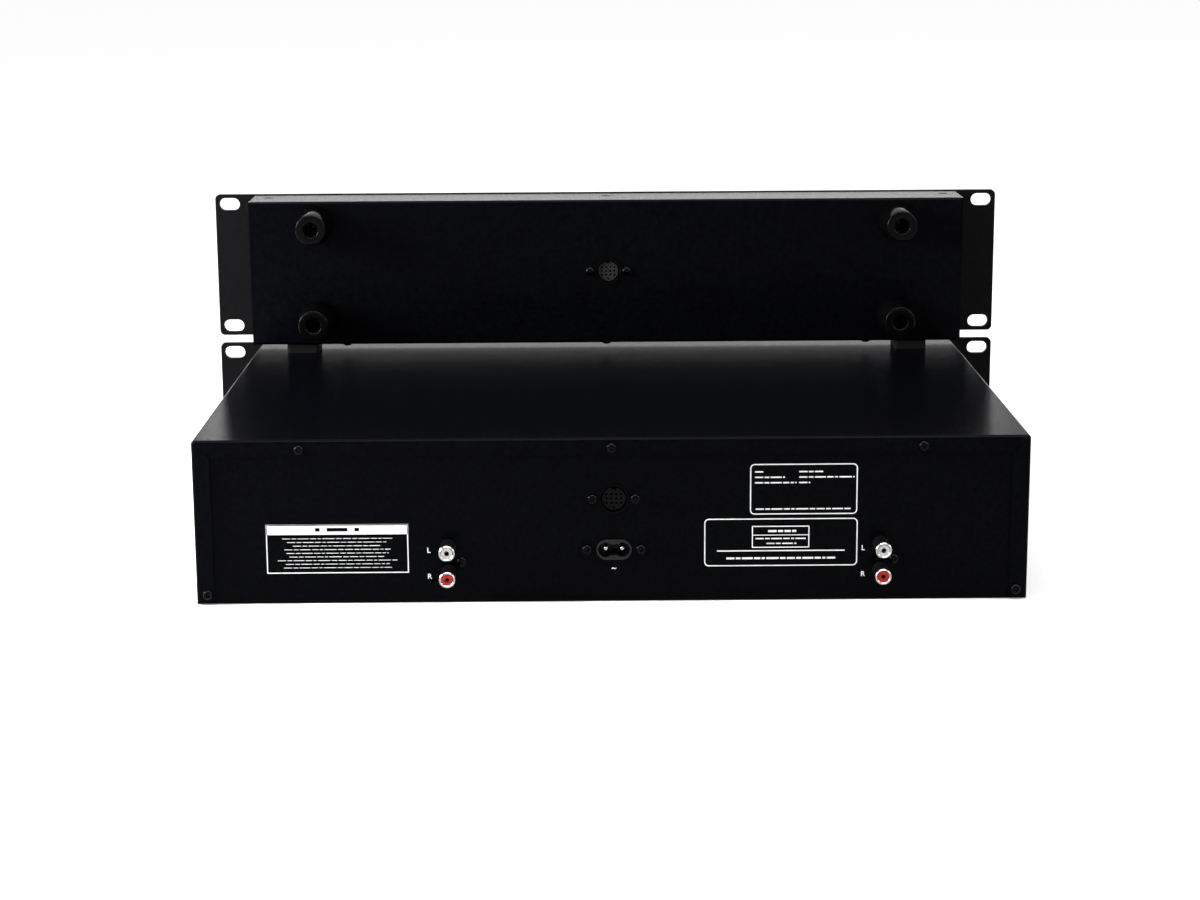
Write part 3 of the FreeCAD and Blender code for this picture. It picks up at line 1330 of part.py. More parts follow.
def make_control_unit_screws():
    """Countersunk screws in the top, pan heads under the base, at the socket and inside the feet."""
    pan = pan_screw(number("screw_length"))
    flat = flat_screw(number("screw_length"))
    long_pan = pan_screw(number("foot_floor + 2 * sheet"))
    screws = []
    for side in (-1, 0, 1):
        screws.append(put(flat, (0, 0, 1), f"{side} * control_top_screw_spacing",
                          "control_top_screw_depth", CASE_HEIGHT))
        screws.append(put(pan, (0, 0, -1), f"{side} * control_base_screw_spacing", BASE_SCREW_LINE, "0"))
    for x, z in CONTROL_SOCKET_SCREWS:
        screws.append(put(pan, (0, 1, 0), x, "control_depth", z))
    for x, z in FOOT_PLACES:
        screws.append(put(long_pan, (0, 1, 0), x, "control_depth + foot_floor", z))
    add_feature("control_unit_screws", Part.makeCompound(screws), z=CONTROL_BASE)


def make_case_feet():
    """Tall tapered feet, each with a deep recess for its screw."""
    length = number("foot_length")
    base = number("foot_base_radius")
    face = number("foot_face_radius")
    recess = number("foot_recess_radius")
    floor = number("foot_floor")
    hole = number(SCREW_HOLE)
    chamfer = number("foot_chamfer")
    mouth = number("foot_mouth")
    foot = half_turn([(hole, 0), (base, 0), (face, length - chamfer), (face - chamfer, length),
                      (recess + mouth, length), (recess, length - mouth), (recess, floor), (hole, floor)])
    feet = [put(foot, (0, 1, 0), x, "control_depth", z) for x, z in FOOT_PLACES]
    add_feature("case_feet", Part.makeCompound(feet), z=CONTROL_BASE)


def make_stacking_pads():
    """Two blocks under the control unit that stand on the main unit's cover."""
    body = add_body("stacking_pads", z=CASE_HEIGHT)
    rear = "(control_depth - pad_inset)"
    blocks = add_sketch(body, "XY_Plane")
    for side in (1, -1):
        draw_block(blocks, f"{side} * pad_place", f"{rear} - pad_length / 2", "pad_width", "pad_length")
    standing = pad(body, blocks, "pad_height")
    corners = [(f"{side} * pad_place + {end} * pad_width / 2", y)
               for side in (1, -1) for end in (1, -1) for y in (rear, f"{rear} - pad_length")]
    round_edges(body, standing, edges_along(standing, 2, corners), "pad_corner")


def make_display_windows():
    """A clear window for each deck, held by a flange behind the panel."""
    body = add_body("display_windows", z=CONTROL_BASE)
    flange = add_sketch(body, "XZ_Plane", "-window_flange")
    pane = add_sketch(body, "XZ_Plane")
    for deck in DECKS:
        draw_block(flange, f"{deck} + window_place", WINDOW_HEIGHT,
                   "window_width + 2 * window_flange_margin", "window_height + 2 * window_flange_margin")
        draw_block(pane, f"{deck} + window_place", WINDOW_HEIGHT, "window_width", "window_height")
    pad(body, flange, "window_flange")
    pad(body, pane, "panel_thickness")


def make_display_modules():
    """Display blocks between the windows and the circuit board."""
    body = add_body("display_modules", z=CONTROL_BASE)
    blocks = add_sketch(body, "XZ_Plane", "-control_board_depth")
    for deck in DECKS:
        draw_block(blocks, f"{deck} + window_place", WINDOW_HEIGHT,
                   "window_width + window_flange_margin", "window_height + window_flange_margin")
    pad(body, blocks, "control_board_depth - window_flange - seat_gap")


def make_fader_bodies():
    """Pitch fader housings behind the panel, each with a channel for the knob's stem."""
    body = add_body("fader_bodies", z=CONTROL_BASE)
    housings = add_sketch(body, "XZ_Plane", "-(control_board_depth - seat_gap)")
    channels = add_sketch(body, "XZ_Plane", "cut_margin")
    for deck in DECKS:
        draw_block(housings, f"{deck} + fader_place", PANEL_MIDDLE, "fader_body_width", FADER_LENGTH)
        draw_block(channels, f"{deck} + fader_place", PANEL_MIDDLE, "fader_slot_width", FADER_SLOT)
    pad(body, housings, "control_board_depth - seat_gap")
    pocket(body, channels, "fader_channel_depth + cut_margin")


def make_control_board():
    """Circuit board on posts behind the panel, with an encoder and key switches for each deck."""
    body = add_body("control_board", z=CONTROL_BASE)
    board = add_sketch(body, "XZ_Plane", f"-{BOARD_BACK}")
    low = "control_board_inset"
    high = f"({CASE_HEIGHT} - control_board_inset)"
    draw_rectangle(board, "-control_board_width / 2", low, "control_board_width / 2", high)
    pad(body, board, "board_thickness")
    posts = add_sketch(body, "XZ_Plane", "-control_board_depth")
    for deck in DECKS:
        for x in ("control_post_left", "control_post_right"):
            for z in (f"{low} + control_post_inset", f"{high} - control_post_inset"):
                draw_circle(posts, f"{deck} + {x}", z, "board_post_radius")
    pad(body, posts, "control_board_depth")
    encoders = add_sketch(body, "XZ_Plane", "-control_board_depth")
    switches = add_sketch(body, "XZ_Plane", "-control_board_depth")
    for deck in DECKS:
        draw_circle(encoders, f"{deck} + jog_place", PANEL_MIDDLE, "encoder_radius")
        for x, z, width, height in KEYS.values():
            draw_block(switches, f"{deck} + {x}", f"{PANEL_MIDDLE} + {z}", "key_switch_size",
                       "key_switch_size")
    pad(body, encoders, "control_board_depth - jog_shaft_reach - seat_gap")
    pad(body, switches, "control_board_depth - key_plunger_reach - key_switch_gap")


def make_jog_wheel():
    """A dished wheel with a finger dimple and a fluted rim, on a shaft through the shuttle ring."""
    body = add_body("left_jog_wheel", x="jog_place - deck_offset", z=f"{CONTROL_BASE} + {PANEL_MIDDLE}")
    under = "-(panel_thickness + ring_lift + ring_web + ring_lift)"
    face = f"({under} - jog_height)"
    profile = add_sketch(body, "XY_Plane")
    draw_polygon(profile, [
        ("0", "jog_shaft_reach"), ("jog_shaft_radius", "jog_shaft_reach"), ("jog_shaft_radius", under),
        ("jog_radius", under), ("jog_radius", f"{face} + jog_dish"), ("jog_radius - jog_dish", face),
        ("jog_dish_radius", face), ("jog_dish_radius - 2 * jog_dish", f"{face} + jog_dish"),
        ("0", f"{face} + jog_dish"),
    ])
    revolve(body, profile)
    dimple = add_sketch(body, "XZ_Plane", f"-({face}) + cut_margin")
    draw_circle(dimple, "0", "jog_dimple_place", "jog_dimple_radius")
    pocket(body, dimple, "cut_margin + jog_dish + jog_dimple")
    flute = add_sketch(body, "XZ_Plane", f"-({face}) + cut_margin")
    draw_circle(flute, "jog_radius", "0", "jog_flute_radius")
    first = pocket(body, flute, "jog_height + 2 * cut_margin")
    pattern(body, first, "PolarPattern", "Y_Axis", "jog_flute_count")


def make_shuttle_ring():
    """The sprung ring round the jog wheel: notched rim, web and a sleeve through the panel."""
    body = add_body("left_shuttle_ring", x="jog_place - deck_offset", z=f"{CONTROL_BASE} + {PANEL_MIDDLE}")
    back = "-(panel_thickness + ring_lift)"
    front = f"({back} - ring_height)"
    bore = "jog_shaft_radius + running_gap"
    profile = add_sketch(body, "XY_Plane")
    draw_polygon(profile, [
        (bore, "ring_sleeve_reach"), ("ring_sleeve_radius", "ring_sleeve_reach"), ("ring_sleeve_radius", back),
        ("ring_radius", back), ("ring_radius", f"{front} + ring_notch_depth"),
        ("ring_radius - ring_notch_depth", front), ("ring_inner_radius", front),
        ("ring_inner_radius", f"{back} - ring_web"), (bore, f"{back} - ring_web"),
    ])
    revolve(body, profile)
    notch = add_sketch(body, "XZ_Plane", f"-({front}) + cut_margin")
    draw_circle(notch, "ring_radius + ring_notch_radius - ring_notch_depth", "0", "ring_notch_radius")
    first = pocket(body, notch, "ring_height + 2 * cut_margin")
    pattern(body, first, "PolarPattern", "Y_Axis", "ring_notch_count")


def make_pitch_fader_knob():
    """A grooved cap on a flat stem that runs in the fader's channel."""
    body = add_body("left_pitch_fader_knob", x="fader_place - deck_offset",
                    z=f"{CONTROL_BASE} + {PANEL_MIDDLE}")
    back = "(panel_thickness + fader_cap_lift)"
    stem = add_sketch(body, "XZ_Plane", "-fader_stem_reach")
    draw_block(stem, "0", "0", "fader_stem_width", "fader_stem_length")
    pad(body, stem, f"fader_stem_reach + {back}")
    cap = add_sketch(body, "XZ_Plane", back)
    draw_block(cap, "0", "0", "fader_cap_width", "fader_cap_length")
    block = pad(body, cap, "fader_cap_height")
    crest = f"-({back} + fader_cap_height)"
    round_edges(body, block, edges_in_plane(block, 1, crest), "fader_cap_edge")
    groove = add_sketch(body, "YZ_Plane", "fader_cap_width / 2 + cut_margin")
    draw_polygon(groove, [
        (f"{crest} - cut_margin", "-fader_groove_width / 2"), (crest, "-fader_groove_width / 2"),
        (f"{crest} + fader_groove", "0"), (crest, "fader_groove_width / 2"),
        (f"{crest} - cut_margin", "fader_groove_width / 2"),
    ])
    pocket(body, groove, "fader_cap_width + 2 * cut_margin")


# ---------------------------------------------------------------- build, check and write

def build():
    make_main_chassis()
    make_main_top_cover()
    make_main_front_panel()
    make_main_unit_screws()
    make_link_socket("link_socket_main", WALL_FACE, "main_socket_height")
    make_mains_inlet()
    make_mains_pins()
    make_phono_blocks()
    make_phono_shells()
    make_phono_inserts("phono_inserts_left", "phono_upper_height")
    make_phono_inserts("phono_inserts_right", PHONO_LOWER)
    make_logic_board()
    make_power_board()
    make_power_transformer()
    make_power_button()

    make_loader_frame()
    make_disc_tray()
    make_loading_gear()
    make_traverse()
    make_spindle()
    make_laser_sled()
    make_clamp_puck()
    make_open_button()

    make_control_case()
    make_control_frame()
    make_control_front_panel()
    make_control_unit_screws()
    make_case_feet()
    make_stacking_pads()
    make_link_socket("link_socket_control", "control_depth", f"{CONTROL_BASE} + {CONTROL_SOCKET}")
    make_display_windows()
    make_display_modules()
    make_fader_bodies()
    make_control_board()
    make_jog_wheel()
    make_shuttle_ring()
    make_pitch_fader_knob()
    for name in KEYS:
        make_key(name)
    for label in [label for label in sub_parts if label.startswith("left_")]:
        repeat_on_right_deck(label[len("left_"):])
    document.recompute()


def check():
    """Every object is up to date, and every sub-part is a valid solid or group of solids."""
    for item in document.Objects:
        if "Invalid" in item.State or "Error" in item.State:
            raise ValueError(f"{item.Label} failed: {item.State}")
    for label, item in sub_parts.items():
        if item.Shape.isNull() or not item.Shape.isValid() or not item.Shape.Solids:
            raise ValueError(f"{label} has no valid shape")


def write():
    os.makedirs("parts", exist_ok=True)
    for label, item in sub_parts.items():
        item.Shape.exportStep(f"parts/{label}.step")


build()
check()
write()
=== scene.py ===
import json
import math

import bmesh
import bpy
from mathutils import Euler, Matrix, Vector


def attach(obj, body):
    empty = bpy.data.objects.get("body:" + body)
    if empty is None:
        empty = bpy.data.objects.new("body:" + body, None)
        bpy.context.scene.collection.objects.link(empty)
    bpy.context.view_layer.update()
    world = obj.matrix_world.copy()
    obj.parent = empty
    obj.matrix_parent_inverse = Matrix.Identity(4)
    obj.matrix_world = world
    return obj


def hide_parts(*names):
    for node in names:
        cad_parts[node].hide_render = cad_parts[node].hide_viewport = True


# Dressing for a rack-mounted twin disc player seen from behind: black powder-coated cases, moulded feet,
# nickel sockets, printed plates and small screws. Lengths in the shapes are millimetres, and MM turns them
# to metres; the lamps are placed in metres.

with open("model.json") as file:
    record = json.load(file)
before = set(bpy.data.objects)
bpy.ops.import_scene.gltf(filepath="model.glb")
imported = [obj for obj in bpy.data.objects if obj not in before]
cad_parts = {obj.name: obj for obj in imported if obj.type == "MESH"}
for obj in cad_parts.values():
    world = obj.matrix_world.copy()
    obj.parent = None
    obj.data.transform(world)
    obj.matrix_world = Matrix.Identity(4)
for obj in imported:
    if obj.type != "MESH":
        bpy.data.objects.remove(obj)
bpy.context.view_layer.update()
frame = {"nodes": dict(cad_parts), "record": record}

MM = 0.001
PANEL_BACK = -137.5                     # y of the rack panels' back
PANEL_FACE = PANEL_BACK - 3             # y of the rack panels' front
KEY_FACE = PANEL_BACK - 5               # y of the faces of the keys and open buttons
MAIN_WALL = 136.2                       # y of the main unit's rear wall
MAIN_REAR = 137.5                       # y of the cover's lips
CONTROL_BASE = 93.1                     # z of the control unit's underside
CONTROL_TOP = CONTROL_BASE + 87.6
CONTROL_REAR = PANEL_BACK + 35.4
DECKS = (-112.0, 112.0)                 # x of the two decks
SPINDLE_Y = PANEL_BACK + 76
FADER_X = 88                            # a pitch fader's place from its deck
FADER_Z = 44                            # and from the control unit's underside
SOCKET_X = -1.1                         # x of the link sockets and the mains inlet
MAIN_SOCKET_Z = 55.3
CONTROL_SOCKET_Z = CONTROL_BASE + 44.25
INLET_Z = 28.3
PHONO_AXES = [(x, z) for x in (84.9, -139.4) for z in (30.5, 16.5)]
PHONO_FACE = MAIN_WALL + 14.7           # y of the phono barrels' ends
FOOT_PLACES = [(x, CONTROL_BASE + z) for x in (-176.4, 176.4) for z in (15.6, 73.4)]
INK = 0.04                              # thickness that a printed layer stands off its surface


# ---------------------------------------------------------------- materials

def colour(code):
    """An sRGB hex code as linear RGBA."""
    parts = [int(code[i:i + 2], 16) / 255 for i in (1, 3, 5)]
    return [p / 12.92 if p <= 0.04045 else ((p + 0.055) / 1.055) ** 2.4 for p in parts] + [1.0]


def empty_tree(owner):
    """The cleared node tree of a material or a world."""
    owner.use_nodes = True
    owner.node_tree.nodes.clear()
    return owner.node_tree


def add(tree, kind, values=None, links=None, **settings):
    """Adds a node with its settings, its constant inputs and the sockets linked into it."""
    node = tree.nodes.new(kind)
    for key, value in settings.items():
        setattr(node, key, value)
    for key, value in (values or {}).items():
        node.inputs[key].default_value = value
    for key, socket in (links or {}).items():
        tree.links.new(socket, node.inputs[key])
    return node


def new_material(name):
    """An empty material: its node tree and the object's own coordinates."""
    material = bpy.data.materials.new(name)
    tree = empty_tree(material)
    place = add(tree, "ShaderNodeTexCoord").outputs["Object"]
    return material, tree, place


def close_material(material, tree, values, links):
    """Puts the shader on the material's output."""
    shader = add(tree, "ShaderNodeBsdfPrincipled", values, links)
    add(tree, "ShaderNodeOutputMaterial", links={"Surface": shader.outputs[0]})
    return material


def grain(tree, place, size, detail=3.0, stretch=(1, 1, 1)):
    """Noise whose lumps are `size` mm across."""
    mapped = add(tree, "ShaderNodeMapping", {"Scale": stretch}, {"Vector": place})
    noise = add(tree, "ShaderNodeTexNoise", {"Scale": 1 / (size * MM), "Detail": detail, "Roughness": 0.55},
                {"Vector": mapped.outputs[0]})
    return noise.outputs[0]


def spread(tree, factor, low, high, start=0.3, end=0.7):
    """Maps a pattern to a range of values; noise seldom leaves 0.3 to 0.7."""
    return add(tree, "ShaderNodeMapRange", {"From Min": start, "From Max": end, "To Min": low, "To Max": high},
               {"Value": factor}).outputs[0]


def tint(tree, factor, first, second):
    """Mixes two colours by a pattern; sockets 0, 6 and 7 are the colour mix's factor and two colours."""
    mix = add(tree, "ShaderNodeMix", {6: colour(first), 7: colour(second)}, {0: factor}, data_type="RGBA")
    return mix.outputs[2]


def bumps(tree, height, depth, strength):
    """Raises the surface by `depth` mm."""
    return add(tree, "ShaderNodeBump", {"Strength": strength, "Distance": depth * MM},
               {"Height": height}).outputs[0]


def powder_coat(name, dark, light, roughness, size, depth):
    """Baked polyester powder on steel sheet: satin black with a close orange-peel grain. The real grain is
    about 0.5 mm; it is drawn a little coarser so that it still breaks up the tone and the highlights. The
    coarser peel also moves the base colour between two blacks, as painted shading of the grain's bumps."""
    material, tree, place = new_material(name)
    fine = grain(tree, place, size, 4.0)
    # peel: painted shading. Its tone in the base colour stands for the light and shade that the peel's bumps
    # catch.
    peel = spread(tree, grain(tree, place, 2 * size, 5.0), 0.0, 1.0)
    return close_material(material, tree, {"IOR": 1.48, "Specular IOR Level": 0.012}, {
        "Base Color": tint(tree, peel, dark, light),
        "Roughness": spread(tree, fine, roughness - 0.06, roughness + 0.08),
        "Normal": bumps(tree, fine, depth, 0.8)})


def moulded(name, dark, light, roughness, size=0.8, depth=0.02, ior=1.5, sheen=0.45):
    """Injection-moulded plastic from a spark-eroded tool: even colour, faint matt grain. `sheen` is low on
    the blacks, which stay deep beside bright surroundings."""
    material, tree, place = new_material(name)
    fine = grain(tree, place, size)
    broad = grain(tree, place, 18.0, 2.0)
    return close_material(material, tree, {"IOR": ior, "Specular IOR Level": sheen}, {
        "Base Color": tint(tree, broad, dark, light),
        "Roughness": spread(tree, fine, roughness - 0.05, roughness + 0.07),
        "Normal": bumps(tree, fine, depth, 0.5)})


def glossy(name, dark, light, roughness, sheen):
    """Polished-tool moulding: deep gloss with slight sink waves and a trace of handling haze."""
    material, tree, place = new_material(name)
    waves = grain(tree, place, 9.0, 1.0)
    haze = grain(tree, place, 3.0, 5.0)
    return close_material(material, tree, {"IOR": 1.52, "Specular IOR Level": sheen}, {
        "Base Color": tint(tree, haze, dark, light),
        "Roughness": spread(tree, haze, roughness - 0.03, roughness + 0.05),
        "Normal": bumps(tree, waves, 0.02, 0.3)})


def plated(name, dark, light, roughness, stretch=(1, 1, 1)):
    """Metal with fine tool or handling marks that vary its sheen."""
    material, tree, place = new_material(name)
    marks = grain(tree, place, 1.2, 5.0, stretch)
    return close_material(material, tree, {"Metallic": 1.0}, {
        "Base Color": tint(tree, marks, dark, light),
        "Roughness": spread(tree, marks, roughness - 0.06, roughness + 0.12),
        "Normal": bumps(tree, marks, 0.006, 0.6)})


def turned_aluminium(name):
    """Aluminium from the lathe: bright rings 0.4 mm apart round each deck's spindle."""
    material, tree, place = new_material(name)
    waves_per_scale = 20
    axes = add(tree, "ShaderNodeSeparateXYZ", links={"Vector": place}).outputs
    distance = add(tree, "ShaderNodeMath", links={0: axes["X"]}, operation="ABSOLUTE").outputs[0]
    across = add(tree, "ShaderNodeMath", {1: DECKS[1] * MM}, {0: distance}, operation="SUBTRACT").outputs[0]
    along = add(tree, "ShaderNodeMath", {1: SPINDLE_Y * MM}, {0: axes["Y"]}, operation="SUBTRACT").outputs[0]
    centred = add(tree, "ShaderNodeCombineXYZ", links={"X": across, "Y": along}).outputs[0]
    rings = add(tree, "ShaderNodeTexWave", {"Scale": 1 / (0.4 * MM) / waves_per_scale, "Distortion": 0.4},
                {"Vector": centred}, wave_type="RINGS", rings_direction="Z").outputs["Fac"]
    return close_material(material, tree, {"Metallic": 1.0}, {
        "Base Color": tint(tree, rings, "#b4b5b6", "#d2d3d4"),
        "Roughness": spread(tree, rings, 0.22, 0.34, 0.0, 1.0),
        "Normal": bumps(tree, rings, 0.01, 0.5)})


def link_socket(name, z, face, ring):
    """Glass-filled PBT socket: the contact insert is moulded apart from the barrel round it, and is paler."""
    material, tree, place = new_material(name)
    insert_radius = 6.1
    centred = add(tree, "ShaderNodeMapping", {"Location": (-SOCKET_X * MM, 0, -z * MM), "Scale": (1, 0, 1)},
                  {"Vector": place}).outputs[0]
    radius = add(tree, "ShaderNodeVectorMath", links={0: centred}, operation="LENGTH").outputs["Value"]
    barrel = add(tree, "ShaderNodeMath", {1: insert_radius * MM}, {0: radius},
                 operation="GREATER_THAN").outputs[0]
    fine = grain(tree, place, 0.8)
    return close_material(material, tree, {"IOR": 1.5, "Specular IOR Level": 0.02}, {
        "Base Color": tint(tree, barrel, face, ring),
        "Roughness": spread(tree, fine, 0.34, 0.46),
        "Normal": bumps(tree, fine, 0.02, 0.5)})


def circuit_board(name):
    """Glass-fibre board under green solder mask, with copper runs showing through as paler lines."""
    material, tree, place = new_material(name)
    runs = add(tree, "ShaderNodeTexBrick", {
        "Scale": 1 / (8 * MM), "Mortar Size": 0.03, "Brick Width": 0.6, "Row Height": 0.22},
        {"Vector": place}).outputs["Fac"]
    mask = grain(tree, place, 2.0)
    return close_material(material, tree, {"IOR": 1.5, "Specular IOR Level": 0.15}, {
        "Base Color": tint(tree, runs, "#0d3b20", "#2b6a3c"),
        "Roughness": spread(tree, mask, 0.32, 0.5),
        "Normal": bumps(tree, runs, 0.03, 0.4)})


def smoked_acrylic(name):
    """Smoke-tinted cast acrylic: the display behind it, which is off, shows only as a dark grey."""
    material, tree, place = new_material(name)
    haze = grain(tree, place, 6.0, 4.0)
    return close_material(material, tree, {
        "IOR": 1.49, "Specular IOR Level": 0.12, "Transmission Weight": 0.6, "Base Color": colour("#14171b")}, {
        "Roughness": spread(tree, haze, 0.03, 0.09)})


def printed_ink(name, dark, light):
    """Screen-printed enamel ink: flat, very slightly uneven in cover."""
    material, tree, place = new_material(name)
    cover = grain(tree, place, 0.9)
    return close_material(material, tree, {"IOR": 1.45}, {
        "Base Color": tint(tree, cover, dark, light),
        "Roughness": spread(tree, cover, 0.5, 0.62)})


FINISHES = {
    "case_steel": powder_coat("powder_coated_steel_satin_black", "#020204", "#050608", 0.17, 1.1, 0.06),
    # The plate's black is painted paler than the case's black: painted light, for the light that the rack ears
    # catch.
    "panel_steel": powder_coat("powder_coated_plate_black_painted_paler", "#0b0b0c", "#101011", 0.36, 1.0, 0.04),
    "plated_screws": plated("black_zinc_screw_steel", "#0a0a0b", "#101012", 0.08),
    "nickel_plate": plated("bright_nickel_plate", "#7f7e7a", "#989691", 0.2),
    "socket_black": moulded("black_pbt_socket_moulding", "#09090a", "#0e0e0f", 0.3, sheen=0.15),
    "socket_grey": moulded("charcoal_pbt_socket_moulding", "#151516", "#1c1c1d", 0.4, sheen=0.1),
    "sleeve_white": moulded("white_nylon_sleeve", "#a3a2a5", "#b0afb1", 0.36, sheen=0.3),
    "sleeve_red": moulded("red_nylon_sleeve", "#960f06", "#a8170d", 0.36, sheen=0.15),
    "circuit_board": circuit_board("green_solder_mask_board"),
    "core_steel": moulded("varnished_transformer_laminations", "#3a2c20", "#54402e", 0.45, 0.5, 0.05,
                          sheen=0.1),
    "frame_plastic": moulded("black_abs_mechanism", "#121213", "#18181a", 0.5, 1.0, 0.03, sheen=0.06),
    "tray_plastic": moulded("satin_black_abs_tray", "#0b0b0c", "#101011", 0.45, 0.9, 0.02, sheen=0.04),
    "acetal": moulded("natural_acetal_gear", "#d9d6cc", "#e8e5dd", 0.38, 1.2, 0.01, 1.48),
    "bright_steel": plated("zinc_plated_pressed_steel", "#8f9092", "#b4b5b7", 0.3, (1, 6, 1)),
    "turned_aluminium": turned_aluminium("turned_aluminium_spindle"),
    "key_grey": moulded("grey_silicone_key", "#5d6064", "#6b6e72", 0.55),
    "key_black": moulded("black_abs_fader_cap", "#101011", "#171718", 0.4, sheen=0.1),
    "button_black": glossy("gloss_black_abs_button", "#0a0a0b", "#0f0f10", 0.2, 0.1),
    "jog_plastic": glossy("satin_black_abs_jog_wheel", "#0a0a0b", "#0f0f10", 0.26, 0.12),
    "ring_plastic": moulded("silver_painted_abs_ring", "#83868b", "#94979c", 0.36, 0.7, 0.015),
    "window_smoke": smoked_acrylic("smoked_acrylic_window"),
    "foot_plastic": glossy("gloss_black_abs_foot", "#030303", "#050506", 0.11, 0.03),
    "pad_rubber": moulded("black_rubber_pad", "#070707", "#0b0b0b", 0.6, 0.7, 0.04, sheen=0.05),
}
BLACKENED = moulded("chemically_blackened_screw_steel", "#070708", "#0d0d0e", 0.55, sheen=0.03)
BRASS = plated("tarnished_brass_contact", "#5a3a20", "#8a5f35", 0.35)
WHITE_INK = printed_ink("white_enamel_print", "#d2d2d0", "#dfdfdd")
LIGHT_INK = printed_ink("pale_grey_enamel_print", "#b4b6b9", "#c8cacd")

# One socket moulding in two colours: the control unit's insert is painted paler, as lit, and the main unit's
# insert darker, as in shade. The difference between them is painted light.
LINK_SOCKETS = {
    "link_socket_main": link_socket("pbt_link_socket_painted_shaded", MAIN_SOCKET_Z, "#0d0d0e", "#030304"),
    "link_socket_control": link_socket("pbt_link_socket_painted_lit", CONTROL_SOCKET_Z, "#262627", "#040405"),
}

for part in frame["record"]["subparts"]:
    node = frame["nodes"][part["node"]]
    node.data.materials.clear()
    node.data.materials.append(LINK_SOCKETS.get(part["node"]) or FINISHES[part["material_slot"]])


# ---------------------------------------------------------------- shape helpers

def put_in_scene(name, data):
    """A new object at the origin for some data."""
    thing = bpy.data.objects.new(name, data)
    bpy.context.scene.collection.objects.link(thing)
    return thing


def to_mesh(name, shape):
    """A mesh of a bmesh, which is freed."""
    mesh = bpy.data.meshes.new(name)
    shape.to_mesh(mesh)
    shape.free()
    return mesh


def as_object(name, shape, material, body, smooth=None):
    """Turns a bmesh in millimetres into a piece that rides on a body. Where `smooth` is given, edges
    sharper than that many degrees stay sharp."""
    bmesh.ops.scale(shape, vec=(MM, MM, MM), verts=shape.verts)
    mesh = to_mesh(name, shape)
    piece = put_in_scene(name, mesh)
    mesh.materials.append(material)
    if smooth is not None:
        mesh.shade_smooth()
        mesh.set_sharp_from_angle(angle=math.radians(smooth))
    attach(piece, body)
    return piece


def merge_in(target, source, transform):
    """Adds a transformed copy of one bmesh to another."""
    mesh = bpy.data.meshes.new("copy")
    source.to_mesh(mesh)
    mesh.transform(transform)
    target.from_mesh(mesh)
    bpy.data.meshes.remove(mesh)


def turn_about(axis, shape, verts, degrees):
    """Turns some vertices about an axis through the origin."""
    matrix = Matrix.Rotation(math.radians(degrees), 3, axis)
    bmesh.ops.rotate(shape, verts=verts, cent=(0, 0, 0), matrix=matrix)


def lathe(profile, steps=48):
    """A closed solid of revolution about Z. Its (radius, height) points start and end on the axis, or end
    where they start."""
    shape = bmesh.new()
    points = [shape.verts.new((r, 0, z)) for r, z in profile]
    edges = [shape.edges.new(pair) for pair in zip(points, points[1:])]
    bmesh.ops.spin(shape, geom=points + edges, axis=(0, 0, 1), cent=(0, 0, 0), angle=math.tau, steps=steps,
                   use_merge=True)
    bmesh.ops.remove_doubles(shape, verts=shape.verts, dist=0.001)
    bmesh.ops.recalc_face_normals(shape, faces=shape.faces)
    return shape


def block(shape, low, high):
    """A box between two corners, added to a bmesh."""
    size = [b - a for a, b in zip(low, high)]
    middle = [(a + b) / 2 for a, b in zip(low, high)]
    matrix = Matrix.Translation(middle) @ Matrix.Diagonal((*size, 1))
    return bmesh.ops.create_cube(shape, size=1, matrix=matrix)["verts"]


def cut(shape, cutter):
    """Takes one closed bmesh out of another."""
    meshes = [to_mesh("cut", source) for source in (shape, cutter)]
    stock, tool = (put_in_scene("cut", mesh) for mesh in meshes)
    boolean = stock.modifiers.new("cut", "BOOLEAN")
    boolean.operation = "DIFFERENCE"
    boolean.solver = "EXACT"
    boolean.object = tool
    bpy.context.view_layer.update()
    result = bmesh.new()
    result.from_mesh(stock.evaluated_get(bpy.context.evaluated_depsgraph_get()).to_mesh())
    for thing in (stock, tool):
        bpy.data.objects.remove(thing)
    for mesh in meshes:
        bpy.data.meshes.remove(mesh)
    return result


# Turns from +Z to the direction that a screw, a foot or a contact faces.
TOWARDS = {
    "rear": Matrix.Rotation(math.radians(-90), 4, "X"),
    "right": Matrix.Rotation(math.radians(90), 4, "Y"),
    "left": Matrix.Rotation(math.radians(-90), 4, "Y"),
    "up": Matrix.Identity(4),
    "down": Matrix.Rotation(math.radians(180), 4, "X"),
}


# ---------------------------------------------------------------- screws

def cut_cross(head, top, bottom, reach, width):
    """Cuts a cross recess that narrows towards its floor, arm by arm."""
    floor_share = 0.4
    for turn in (45, 135):
        tool = bmesh.new()
        verts = block(tool, (-reach, -width / 2, bottom), (reach, width / 2, top))
        for vert in verts:
            if vert.co.z < (top + bottom) / 2:
                vert.co.x *= floor_share
        turn_about("Z", tool, verts, turn)
        head = cut(head, tool)
    return head


def pan_head_screw():
    """A pan head 5.3 mm across with a cross recess, on a short shank."""
    head = lathe([(0, -4), (1.5, -4), (1.5, 0), (2.4, 0), (2.65, 0.25), (2.65, 0.95), (2.55, 1.3), (2.3, 1.62),
                  (1.9, 1.86), (1.3, 2.02), (0.7, 2.09), (0, 2.1)])
    return cut_cross(head, 3.0, 1.0, 1.55, 0.72)


def flat_head_screw():
    """A countersunk head 5.5 mm across, flush, with a cross recess."""
    head = lathe([(0, -4), (1.5, -4), (1.5, -1.3), (2.75, -0.1), (2.75, -0.02), (0, -0.02)])
    return cut_cross(head, 1.0, -1.1, 1.6, 0.76)


